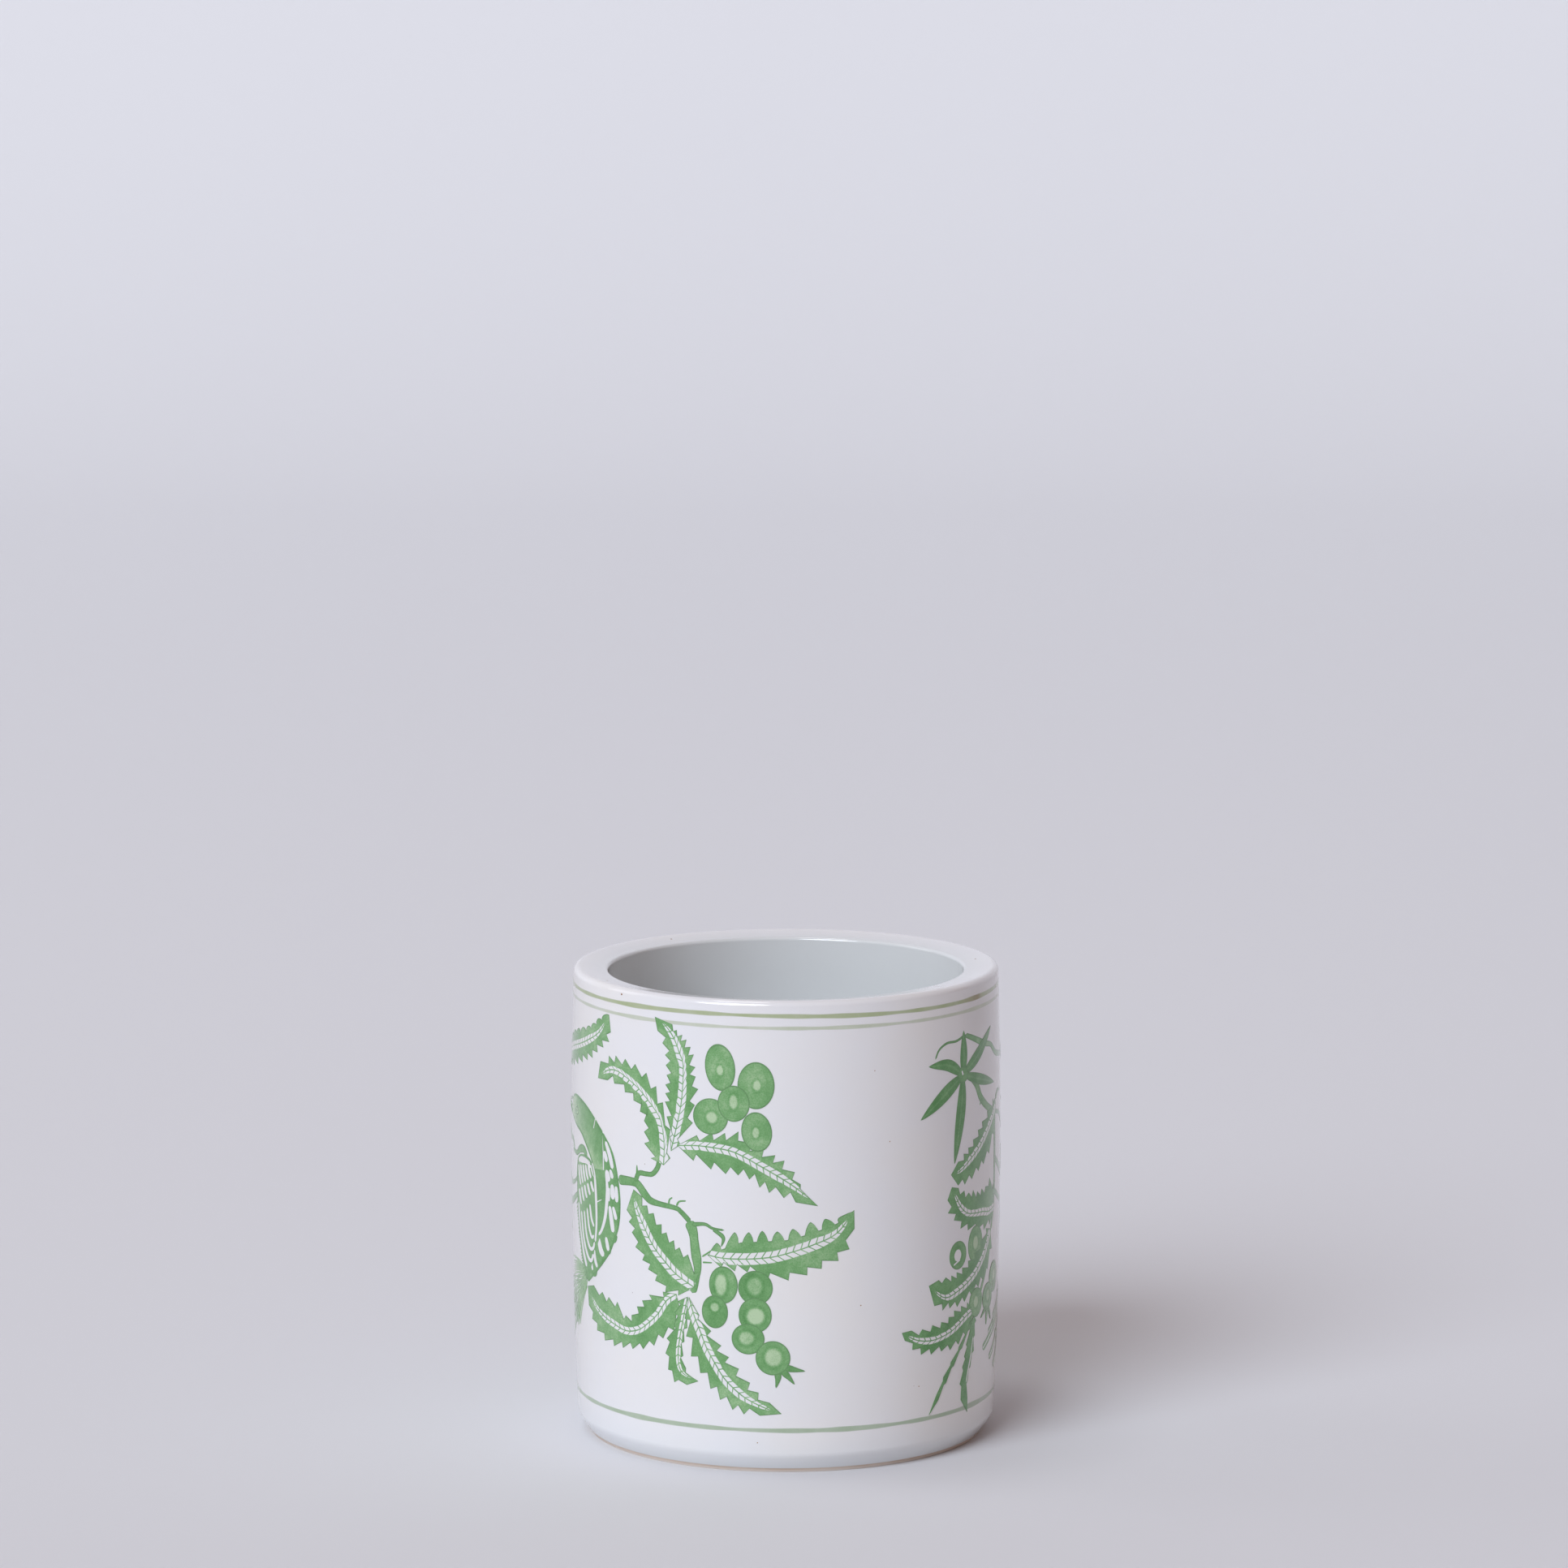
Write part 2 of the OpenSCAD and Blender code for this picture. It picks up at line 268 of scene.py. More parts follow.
def bare_piece(name: str, points: np.ndarray, faces: np.ndarray) -> bpy.types.Object:
    """Puts vertices and quads into a new mesh object at the origin.

    Args:
        name: The piece's name.
        points: Vertices, in metres.
        faces: Rows of four vertex numbers.

    Returns:
        The linked object.
    """
    mesh = bpy.data.meshes.new(name)
    flat = points.reshape(-1, 3)
    mesh.vertices.add(len(flat))
    mesh.vertices.foreach_set("co", flat.astype(np.float32).ravel())
    mesh.loops.add(faces.size)
    mesh.loops.foreach_set("vertex_index", faces.astype(np.int32).ravel())
    mesh.polygons.add(len(faces))
    mesh.polygons.foreach_set("loop_start", np.arange(len(faces), dtype=np.int32) * 4)
    mesh.update(calc_edges=True)
    piece = bpy.data.objects.new(name, mesh)
    bpy.context.scene.collection.objects.link(piece)
    return piece


def finished(piece: bpy.types.Object, sharp: float = 40.0) -> bpy.types.Object:
    """Joins coincident points, so that seams, tips and poles close, drops empty faces and shades smooth.

    Args:
        piece: The object.
        sharp: Angle in degrees past which an edge stays sharp.

    Returns:
        The same object.
    """
    mesh = piece.data
    work = bmesh.new()
    work.from_mesh(mesh)
    bmesh.ops.remove_doubles(work, verts=work.verts, dist=SAME)
    bmesh.ops.dissolve_degenerate(work, edges=work.edges, dist=SAME)
    work.to_mesh(mesh)
    work.free()
    mesh.validate()
    mesh.polygons.foreach_set("use_smooth", np.ones(len(mesh.polygons), bool))
    mesh.set_sharp_from_angle(angle=math.radians(sharp))
    mesh.update()
    return piece


def grid_faces(rows: int, cols: int, closed_rows: bool = False, closed_cols: bool = False) -> np.ndarray:
    """Quads of a grid whose points are numbered row by row, wrapped round where it is closed."""
    r = np.arange(rows if closed_rows else rows - 1)
    c = np.arange(cols if closed_cols else cols - 1)
    a, b = np.meshgrid(r, c, indexing="ij")
    a2, b2 = (a + 1) % rows, (b + 1) % cols
    return np.stack([a * cols + b, a * cols + b2, a2 * cols + b2, a2 * cols + b], -1).reshape(-1, 4)


def shell_faces(rows: int, cols: int) -> np.ndarray:
    """Quads of a thin closed sheet: a front grid, a back grid numbered after it, and walls on four sides."""
    front = grid_faces(rows, cols)
    rim = np.concatenate([
        np.arange(cols),
        np.arange(1, rows) * cols + cols - 1,
        (rows - 1) * cols + np.arange(cols - 2, -1, -1),
        np.arange(rows - 2, 0, -1) * cols,
    ])
    after, back = np.roll(rim, -1), rows * cols
    return np.vstack([front, front[:, ::-1] + back, np.stack([after, rim, rim + back, after + back], -1)])


def disc_faces(rows: int, cols: int) -> np.ndarray:
    """Quads of a thin closed disc whose rows are rings: front, back, and one wall round the last ring."""
    front = grid_faces(rows, cols, closed_cols=True)
    rim = (rows - 1) * cols + np.arange(cols)
    after, back = np.roll(rim, -1), rows * cols
    return np.vstack([front, front[:, ::-1] + back, np.stack([rim, after, after + back, rim + back], -1)])


def turned(name: str, form: PotForm, profile: np.ndarray, around: int, closed: bool) -> bpy.types.Object:
    """Carries a profile round the pot's axis; an end of the profile on the axis closes there as a pole.

    Args:
        name: The piece's name.
        form: The pot's form, which puts the rim out of true.
        profile: Rows of radius and height, with the material on the left hand.
        around: Number of steps round the axis.
        closed: Whether the profile's end meets its start.

    Returns:
        The object.
    """
    r, z = profile[None, :, 0], np.broadcast_to(profile[None, :, 1], (around, len(profile)))
    points = form.place(full_turn(around)[:, None], r, z)
    faces = grid_faces(around, len(profile), closed_rows=True, closed_cols=closed)
    return finished(bare_piece(name, points, faces[:, ::-1]))


# ---------------------------------------------------------------- finishes

def linear(code: str) -> tuple[float, float, float, float]:
    """Turns an sRGB hex colour into linear red, green, blue and an alpha of one."""
    parts = [int(code[i:i + 2], 16) / 255 for i in (1, 3, 5)]
    return tuple(c / 12.92 if c <= 0.04045 else ((c + 0.055) / 1.055) ** 2.4 for c in parts) + (1.0,)


def add(tree: Tree, kind: str, inputs: dict[Any, Any], **settings: Any) -> bpy.types.Node:
    """Adds a node, sets its properties, and sets or links its inputs.

    Args:
        tree: The material's node tree.
        kind: The node's type name, without its ShaderNode prefix.
        inputs: Input names or numbers, each with a value or another node's output.
        **settings: Properties of the node.

    Returns:
        The node.
    """
    made = tree.nodes.new("ShaderNode" + kind)
    for key, value in settings.items():
        setattr(made, key, value)
    for key, value in inputs.items():
        if isinstance(value, Socket):
            tree.links.new(value, made.inputs[key])
        else:
            made.inputs[key].default_value = value
    return made


def object_place(tree: Tree) -> Socket:
    """Object coordinates."""
    return add(tree, "TexCoord", {}).outputs["Object"]


def noise(tree: Tree, where: Socket, scale: float, detail: float, roughness: float = 0.5) -> Socket:
    """Cloudy noise, with the scale in waves to the metre."""
    values = {"Vector": where, "Scale": scale, "Detail": detail, "Roughness": roughness}
    return add(tree, "TexNoise", values).outputs["Fac"]


def cells(tree: Tree, where: Socket, spacing_mm: float) -> Socket:
    """Distance to the nearest of points scattered at a spacing, as a share of the spacing."""
    return add(tree, "TexVoronoi", {"Vector": where, "Scale": 1 / (spacing_mm * MM)}).outputs["Distance"]


def fade(tree: Tree, value: Socket, start: float, end: float, low: float, high: float) -> Socket:
    """Runs straight from low to high while the value runs from start to end, and holds beyond both."""
    return add(tree, "MapRange", {"Value": value, 1: start, 2: end, 3: low, 4: high}).outputs[0]


def blend(tree: Tree, share: Any, first: Any, second: Any) -> Socket:
    """Mixes a share of a second colour into a first."""
    return add(tree, "Mix", {"Factor": share, "A": first, "B": second}, data_type="RGBA").outputs[2]


def reckon(tree: Tree, operation: str, *values: Any, **settings: Any) -> Socket:
    """One step of arithmetic on numbers or sockets."""
    return add(tree, "Math", dict(enumerate(values)), operation=operation, **settings).outputs[0]


def bump(tree: Tree, height: Socket, strength: float, distance: float) -> Socket:
    """Normal of a surface raised by a height; the distance is in metres."""
    return add(tree, "Bump", {"Strength": strength, "Distance": distance, "Height": height}).outputs["Normal"]


def print_values(tree: Tree, name: str) -> list[Socket]:
    """The three numbers of a vertex attribute."""
    attribute = add(tree, "Attribute", {}, attribute_name=name).outputs["Vector"]
    return list(add(tree, "SeparateXYZ", {"Vector": attribute}).outputs)


def new_material(name: str) -> tuple[bpy.types.Material, Tree]:
    """An empty node material and its tree."""
    material = bpy.data.materials.new(name)
    material.use_nodes = True
    material.node_tree.nodes.clear()
    return material, material.node_tree


def close_material(tree: Tree, colour: Any, rough: Any, normal: Any, sockets: dict[str, Any]) -> None:
    """Adds the surface shader and the output, with the constant values set on the shader's own sockets."""
    values = {"Base Color": colour, "Roughness": rough, **sockets}
    if normal is not None:
        values["Normal"] = normal
    surface = add(tree, "BsdfPrincipled", values)
    add(tree, "OutputMaterial", {"Surface": surface.outputs["BSDF"]})


@dataclass(frozen=True)
class GlazeLook:
    """Clear feldspar glaze fired on white porcelain: glassy, faintly blue where it lies thick."""

    white: str = "#E5E6E8"
    thick: str = "#D6DDE0"
    warm: str = "#E7E6E4"
    # Painted shade: the darker grey-green that the inside of the well and the rim's inner flat take
    inside: str = "#D8DCDC"
    iron: str = "#6B5236"
    smoke: str = "#A39A8C"
    # Middle and reach, in metres, of a smoke stain under the rim
    stain_at: tuple[float, float, float] = (0.0532, -0.0277, 0.1235)
    stain_size: float = 0.0105
    # Heights between which the thick glaze by the foot thins out, and radii between which the rim's flat
    # turns from the painted shade of the well to the wall's colour, in metres
    pool: Point = (0.001, 0.011)
    well: Point = (0.0495, 0.0575)
    # Greatest share of the thick glaze, of the smoke and of an iron speck's colour
    share: float = 0.55
    roughness: float = 0.1
    ior: float = 1.5
    # Ripple of the glaze as it flowed, and the spacing of stray iron specks in the clay, both in millimetres
    ripple_mm: float = 7.0
    speck_cell_mm: float = 13.0

    def sockets(self) -> dict[str, Any]:
        """Values that the glaze shares with the print under it."""
        return {"IOR": self.ior, "Coat Weight": 0.5, "Coat Roughness": 0.03, "Coat IOR": 1.5}

    def ripple(self, tree: Tree) -> Socket:
        """Normal of the glaze's slow ripple, read from object coordinates."""
        return bump(tree, noise(tree, object_place(tree), 1 / (self.ripple_mm * MM), 1.5, 0.4), 0.05, 0.0003)

    def haze(self, tree: Tree, cloud: Socket) -> Socket:
        """Roughness that wanders a little with a cloudy value."""
        return fade(tree, cloud, 0, 1, self.roughness - 0.03, self.roughness + 0.05)

    def white_colour(self, tree: Tree) -> Socket:
        """Colour of the glaze: cloudy white, bluer by the foot, darker in the well as painted shade, smoked
        and specked.
        """
        where = object_place(tree)
        cloud = noise(tree, where, 28.0, 3.0)
        colour = blend(tree, fade(tree, cloud, 0.35, 0.7, 0, 1), linear(self.white), linear(self.warm))
        high = add(tree, "SeparateXYZ", {"Vector": where}).outputs["Z"]
        colour = blend(tree, fade(tree, high, *self.pool, self.share, 0), colour, linear(self.thick))
        gap = add(tree, "VectorMath", {0: where, 1: self.stain_at}, operation="DISTANCE").outputs["Value"]
        stain = reckon(tree, "MULTIPLY", fade(tree, gap, 0, self.stain_size, self.share, 0), cloud)
        colour = blend(tree, stain, colour, linear(self.smoke))
        flat = add(tree, "VectorMath", {0: where, 1: (1, 1, 0)}, operation="MULTIPLY").outputs[0]
        middle = add(tree, "VectorMath", {0: flat}, operation="LENGTH").outputs["Value"]
        # Painted shade: towards and inside the well the glaze colour darkens to the inside grey-green
        colour = blend(tree, fade(tree, middle, *self.well, 1, 0), colour, linear(self.inside))
        dot = fade(tree, cells(tree, where, self.speck_cell_mm), 0.008, 0.016, self.share, 0)
        return blend(tree, dot, colour, linear(self.iron))

    def material(self) -> bpy.types.Material:
        """Glazed porcelain."""
        material, tree = new_material("clear_glaze_on_porcelain")
        rough = self.haze(tree, noise(tree, object_place(tree), 90.0, 4.0))
        close_material(tree, self.white_colour(tree), rough, self.ripple(tree), self.sockets())
        return material


@dataclass(frozen=True)
class ClayLook:
    """Unglazed porcelain wiped clean before firing: matt, sandy, flashed brown beside the glaze."""

    body: str = "#D8CEC4"
    flash: str = "#AE8B6C"
    grit_mm: float = 0.35
    # Heights, in metres, between which the flash comes in
    flash_z: Point = (0.0002, 0.0012)

    def material(self) -> bpy.types.Material:
        """Bare fired clay."""
        material, tree = new_material("bare_fired_porcelain")
        where = object_place(tree)
        grit = noise(tree, where, 1 / (self.grit_mm * MM), 4.0)
        high = add(tree, "SeparateXYZ", {"Vector": where}).outputs["Z"]
        patch = noise(tree, where, 60.0, 3.0)
        amount = reckon(tree, "MULTIPLY", fade(tree, high, *self.flash_z, 0, 1), patch)
        colour = blend(tree, amount, linear(self.body), linear(self.flash))
        rough, lump = fade(tree, grit, 0, 1, 0.7, 0.9), bump(tree, grit, 0.35, 0.0001)
        close_material(tree, colour, rough, lump, {"IOR": 1.5})
        return material


@dataclass(frozen=True)
class PrintLook:
    """Chrome green transfer print under the glaze: watery tone, darker outlines, and stippled pale places.

    The attribute rib holds the length along a leaf, the distance from its midrib and that distance as a share
    of the pale channel's half width. The attribute ink holds the distance from the margin, the tone and the
    bars' spacing. A tone of nought is deep, a tone of one is light, and mid_at is the middle green's tone.
    """

    glaze: GlazeLook
    deep: str = "#4C8A45"
    mid: str = "#72A669"
    light: str = "#B4CFA6"
    outline: str = "#5C8A55"
    mid_at: float = 0.45
    # Width of the outlines and of the midrib, and the stipple's spacing, in millimetres
    outline_mm: float = 0.3
    midrib_mm: float = 0.17
    stipple_mm: float = 0.42
    # The bars' width as a share of their spacing, and how far they lean towards the tip
    bar_share: float = 0.17
    bar_lean: float = 0.85

    def channel(self, tree: Tree, rib: list[Socket], spacing: Socket) -> Socket:
        """How white a place is: the channel beside the midrib, less its bars, which lean to the tip."""
        along, off, share = rib
        inside = fade(tree, share, 0.94, 1.06, 1, 0)
        slant = reckon(tree, "SUBTRACT", along, reckon(tree, "MULTIPLY", off, self.bar_lean))
        phase = reckon(tree, "ADD", reckon(tree, "DIVIDE", slant, spacing), 0.5)
        away = reckon(tree, "ABSOLUTE", reckon(tree, "SUBTRACT", reckon(tree, "FRACT", phase), 0.5))
        bar, rib_half = self.bar_share / 2, self.midrib_mm
        clear = fade(tree, away, bar - 0.03, bar + 0.03, 0, 1)
        beside = fade(tree, off, rib_half - 0.06, rib_half + 0.06, 0, 1)
        return reckon(tree, "MULTIPLY", inside, reckon(tree, "MULTIPLY", clear, beside))

    def material(self) -> bpy.types.Material:
        """The print, with the glaze's own gloss over it."""
        material, tree = new_material("green_transfer_print_under_glaze")
        where = object_place(tree)
        rib, (edge, tone, spacing) = print_values(tree, "rib"), print_values(tree, "ink")
        wash = noise(tree, where, 260.0, 3.0, 0.55)
        tone = reckon(tree, "ADD", tone, fade(tree, wash, 0.3, 0.7, -0.16, 0.16))
        grain = fade(tree, cells(tree, where, self.stipple_mm), 0.1, 0.7, -0.1, 0.1)
        ramp = add(tree, "ValToRGB", {"Fac": reckon(tree, "ADD", tone, grain, use_clamp=True)})
        stops = ramp.color_ramp.elements
        stops[0].color, stops[1].color = linear(self.deep), linear(self.light)
        stops.new(self.mid_at).color = linear(self.mid)
        blank = self.channel(tree, rib, spacing)
        cut = blend(tree, blank, ramp.outputs["Color"], self.glaze.white_colour(tree))
        hem = fade(tree, edge, self.outline_mm - 0.12, self.outline_mm + 0.12, 0.8, 0)
        lined = blend(tree, hem, cut, linear(self.outline))
        glaze = self.glaze
        close_material(tree, lined, glaze.haze(tree, wash), glaze.ripple(tree), glaze.sockets())
        return material


@dataclass(frozen=True)
class LineLook:
    """A brushed band of thin colour under the glaze, uneven where the brush ran dry and burnt in one place.

    The attribute ink holds the distance from the band's edge, and how burnt a place is.
    """

    name: str
    glaze: GlazeLook
    colour: str
    faint: str
    burnt: str = "#8E7F50"

    def material(self) -> bpy.types.Material:
        """The band's colour, softer at its edges."""
        material, tree = new_material(self.name)
        load = fade(tree, noise(tree, object_place(tree), 140.0, 4.0, 0.6), 0.3, 0.7, 0, 0.75)
        edge, burn, _ = print_values(tree, "ink")
        tint = blend(tree, load, linear(self.colour), linear(self.faint))
        tint = blend(tree, burn, tint, linear(self.burnt))
        soft = blend(tree, fade(tree, edge, 0, 0.2, 0.5, 0), tint, linear(self.glaze.white))
        close_material(tree, soft, self.glaze.roughness, self.glaze.ripple(tree), self.glaze.sockets())
        return material


@dataclass(frozen=True)
class SpeckLook:
    """Iron spots that bled through the glaze: dark brown in the middle, rusty at the edge."""

    core: str = "#4A3826"
    rust: str = "#AF8057"

    def material(self) -> bpy.types.Material:
        """Iron spot under the glaze."""
        material, tree = new_material("iron_spot_in_glaze")
        rim = fade(tree, print_values(tree, "ink")[0], 0, 0.2, 1, 0)
        close_material(tree, blend(tree, rim, linear(self.core), linear(self.rust)), 0.15, None, {"IOR": 1.5})
        return material


@dataclass(frozen=True)
class PaperLook:
    """Seamless studio paper: matt, with a faint tooth."""

    colour: str = "#E0E2E5"
    tooth_mm: float = 2.0

    def material(self) -> bpy.types.Material:
        """Pale backdrop paper."""
        material, tree = new_material("seamless_matt_paper")
        tooth = bump(tree, noise(tree, object_place(tree), 1 / (self.tooth_mm * MM), 2.0), 0.03, 0.0002)
        close_material(tree, linear(self.colour), 0.75, tooth, {"Specular IOR Level": 0.25})
        return material


# ---------------------------------------------------------------- drawn shapes of the print

class Margin(Enum):
    """Shapes of a leaf's teeth: round power, place of the notch on the way between tips, depth, spread.

    A tooth stands up from its notches by one minus a power of the distance from its middle, itself taken to
    one over that power: a power of one makes it straight-sided, and a higher one rounds it.
    """

    POINTED = (1.0, 0.17, 1.08, 1.0)
    SCALLOPED = (1.7, 0.5, 0.7, 1.0)
    FINGERED = (1.4, 0.4, 1.5, 0.76)


@dataclass(frozen=True)
class InkPatch:
    """A drawn shape as a grid of places on the unrolled wall, with its print values.

    spots has a last axis of distance round the wall and height. The others hold one value for each place.
    """

    spots: np.ndarray
    along: np.ndarray
    off: np.ndarray
    share: np.ndarray
    edge: np.ndarray
    tone: np.ndarray
    bars: float = 1.9
    ring: bool = False


@dataclass(frozen=True)
class ToothedLeaf:
    """A toothed leaf with a pale channel along its midrib.

    Its grid runs along the midrib and, in each row, from one margin over the midrib to the other. A tooth is
    the straight way between its two notches, pushed towards the tooth's tip.
    """

    midrib: Points
    left: Points
    right: Points
    channel: float = 1.3
    notch: float = 1.7
    left_margin: Margin = Margin.POINTED
    right_margin: Margin = Margin.POINTED
    tone: float = 0.42
    bars: float = 2.15
    # The channel's width at the base and near the tip, as shares of its greatest
    channel_ends: Point = (0.9, 0.45)
    # Rows to a tooth, and the grid's columns as shares of the way from the midrib to the margin
    steps: int = 9
    columns: Sequence[float] = (0.0, 0.12, 0.26, 0.42, 0.6, 0.8, 0.92, 1.0)

    def margin(self, tips: Points, style: Margin, middle: np.ndarray, t: np.ndarray) -> np.ndarray:
        """Places along one margin.

        Args:
            tips: The teeth's tips, from the base to the leaf's tip.
            style: The teeth's shape.
            middle: Samples of the midrib.
            t: Share of the way from base to tip, counted in teeth.

        Returns:
            One place for each t.
        """
        power, place, deep, spread = style.value
        tip = np.array(tips, float)
        low = tip[:-1] + (tip[1:] - tip[:-1]) * place
        inward = middle[nearest(low, middle)] - low
        reach = np.linalg.norm(inward, axis=1, keepdims=True)
        low = low + inward / np.maximum(reach, 1e-6) * np.minimum(self.notch * deep, reach * 0.55)
        knots = np.vstack([middle[:1], low, middle[-1:]])
        where = t * len(tip)
        k = np.minimum(where.astype(int), len(tip) - 1)
        w = where - k
        start, end = knots[k], knots[k + 1]
        height = (1 - np.minimum(np.abs(2 * w - 1) / spread, 1) ** power) ** (1 / power)
        chord = start + (end - start) * w[:, None]
        return chord + (tip[k] - (start + end) / 2) * height[:, None]

    def patch(self) -> InkPatch:
        """The leaf's grid."""
        middle = curve(self.midrib, SPINE)
        run = length_along(middle)
        t = np.array([0.0])
        for tips in (self.left, self.right):
            count = len(tips)
            t = np.union1d(t, np.linspace(0, 1, count * self.steps + 1))
            t = np.union1d(t, (np.arange(count) + 0.5) / count)
        sides = [self.margin(self.left, self.left_margin, middle, t),
                 self.margin(self.right, self.right_margin, middle, t)]
        at = np.maximum.accumulate(0.5 * (nearest(sides[0], middle) + nearest(sides[1], middle)))
        at = np.interp(np.arange(len(t)), *thinned(at))
        spine = read_along(at, np.arange(SPINE), middle)
        length = np.interp(at, np.arange(SPINE), run)
        v = np.array(self.columns)
        halves = [spine[:, None] + (side - spine)[:, None] * v[None, :, None] for side in sides]
        gaps = [np.linalg.norm(side - spine, axis=1)[:, None] for side in sides]
        spots = np.concatenate([halves[0][:, :0:-1], halves[1]], axis=1)
        off = np.concatenate([(gaps[0] * v)[:, :0:-1], gaps[1] * v], axis=1)
        edge = np.concatenate([(gaps[0] * (1 - v))[:, :0:-1], gaps[1] * (1 - v)], axis=1)
        base, late = self.channel_ends
        taper = np.interp(length / run[-1], [0, 0.15, 0.7, 0.88, 0.94], [base, 1, 0.95, late, 0])
        share = off / np.maximum(1.04 * self.channel * taper, 0.02)[:, None]
        tone = self.tone + 0.1 * np.cos(length / 5)[:, None] * (off > self.channel)
        return InkPatch(spots, np.broadcast_to(length[:, None], off.shape), off, share, edge, tone, self.bars)


def nearest(places: np.ndarray, line: np.ndarray) -> np.ndarray:
    """Number of the line's point that lies nearest to each place."""
    return np.argmin(np.linalg.norm(places[:, None] - line[None], axis=-1), axis=1)


def thinned(values: np.ndarray, step: int = 4) -> tuple[np.ndarray, np.ndarray]:
    """Every few values with both ends, so that a stepped run is read back as a smooth one."""
    keep = np.union1d(np.arange(0, len(values), step), [len(values) - 1])
    ends = values[keep].astype(float)
    ends[0], ends[-1] = 0, SPINE - 1
    return keep, ends


def ribbon(middle: np.ndarray, half: np.ndarray, columns: int) -> tuple[np.ndarray, np.ndarray, np.ndarray]:
    """Grid across a line of changing half width: places, distances from the line and the edge."""
    v, half = np.linspace(-1, 1, columns), half[:, None]
    spots = middle[:, None] + left_of(middle)[:, None] * (half * v)[:, :, None]
    return spots, np.abs(half * v), half * (1 - np.abs(v))


@dataclass(frozen=True)
class Stroke:
    """A brush or graver stroke: a line of changing width with round ends.

    Each row of its grid crosses the line, and the half width is the set widths' straight run, closed at both
    ends by a quarter circle of the end's own half width. A blank stroke is cut out of the print, so that the
    white glaze shows, and a shaft is a white line of that half width down the stroke's middle.
    """

    line: Points
    widths: Sequence[float]
    tone: float = 0.35
    blank: bool = False
    shaft: float = 0.0
    # A stroke narrower than this, in mm, has no outline
    fine: float = 1.2

    def patch(self) -> InkPatch:
        """The stroke's grid, whose place along and spacing keep the channel's bars out of its white parts."""
        count = int(max(16, length_along(np.array(self.line, float))[-1] * 1.8))
        middle = curve(self.line, count)
        run = length_along(middle)
        half = 0.5 * np.interp(run / run[-1], np.linspace(0, 1, len(self.widths)), self.widths)
        for rest in (run, run[-1] - run):
            near = np.clip(rest / np.maximum(half, 0.05), 0, 1)
            half = half * np.sqrt(np.maximum(1 - (1 - near) ** 2, 0.0))
        spots, off, edge = ribbon(middle, half, 7)
        if max(self.widths) < self.fine or self.blank:
            edge = edge + 1.0
        share = off * 0 if self.blank else off / self.shaft if self.shaft else np.full(off.shape, FAR)
        tone = np.full(off.shape, self.tone)
        return InkPatch(spots, np.full(off.shape, FAR * 5), off + 1, share, edge, tone, FAR * 10)


@dataclass(frozen=True)
class Blade:
    """A smooth lance-shaped leaf: its half width is the sine of the way along, to a power."""

    line: Points
    width: float
    fullness: float = 0.75
    # A near-deep tone: partly the bamboo's own deep green, partly painted shade of the pot's shaded right side
    tone: float = 0.02

    def patch(self) -> InkPatch:
        """The blade's grid, paler along its midrib."""
        middle = curve(self.line, ALONG)
        run = length_along(middle)
        half = 0.5 * self.width * np.sin(math.pi * (run / run[-1]) ** 0.8) ** self.fullness
        spots, off, edge = ribbon(middle, half, 9)
        outside = np.full(off.shape, FAR)
        return InkPatch(spots, outside, off + 1, outside, edge, self.tone + 0.25 * np.exp(-(off / 0.25) ** 2))


@dataclass(frozen=True)
class Berry:
    """A round fruit: a dark rim, a stippled body and a pale eye that may sit off its middle.

    Its grid goes out from the middle in rings, each a tilted oval.
    """

    centre: Point
    size: Point
    eye: Point
    eye_size: Point = (1.0, 1.4)
    tilt: float = 0.0
    body_tone: float = 0.47
    eye_tone: float = 0.9

    def patch(self) -> InkPatch:
        """The berry's grid."""
        rings, a = np.linspace(0.0, 1.0, 15)[:, None], full_turn(48)[None]
        x, z = rings * np.cos(a) * self.size[0], rings * np.sin(a) * self.size[1]
        c, s = math.cos(math.radians(self.tilt)), math.sin(math.radians(self.tilt))
        spots = np.stack([self.centre[0] + x * c - z * s, self.centre[1] + x * s + z * c], -1)
        edge = (1 - rings) * min(self.size) * np.ones_like(a)
        far = np.hypot(*((spots[..., k] - self.eye[k]) / self.eye_size[k] for k in range(2)))
        glow = np.clip((1.15 - far) / 0.35, 0, 1)
        halo = 0.2 * np.exp(-((far - 1.3) / 0.22) ** 2)
        swell = 0.06 * np.cos(rings * math.pi * 0.9) * np.ones_like(a)
        tone = self.body_tone - halo + swell + (self.eye_tone - self.body_tone) * glow
        outside = np.full(edge.shape, FAR)
        return InkPatch(spots, edge * 0, outside, outside, edge, tone, ring=True)


@dataclass(frozen=True)
class Loft:
    """A patch between two lines, ruled straight across from the one to the other."""

    first: Points
    second: Points
    tones: Sequence[float] = (0.4, 0.4)
    far_tones: Sequence[float] | None = None

    def patch(self) -> InkPatch:
        """The patch's grid, toned along each line and evenly from the one to the other."""
        a, b = curve(self.first, ALONG), curve(self.second, ALONG)
        v, u = np.linspace(0, 1, 15)[None, :], np.linspace(0, 1, ALONG)
        spots = a[:, None] + (b - a)[:, None] * v[..., None]
        near, far = (np.interp(u, np.linspace(0, 1, len(tones)), tones)[:, None]
                     for tones in (self.tones, self.far_tones or self.tones))
        outside = np.full(spots.shape[:2], FAR)
        return InkPatch(spots, outside, outside, outside, outside, near + (far - near) * v)


Shape = ToothedLeaf | Stroke | Blade | Berry | Loft


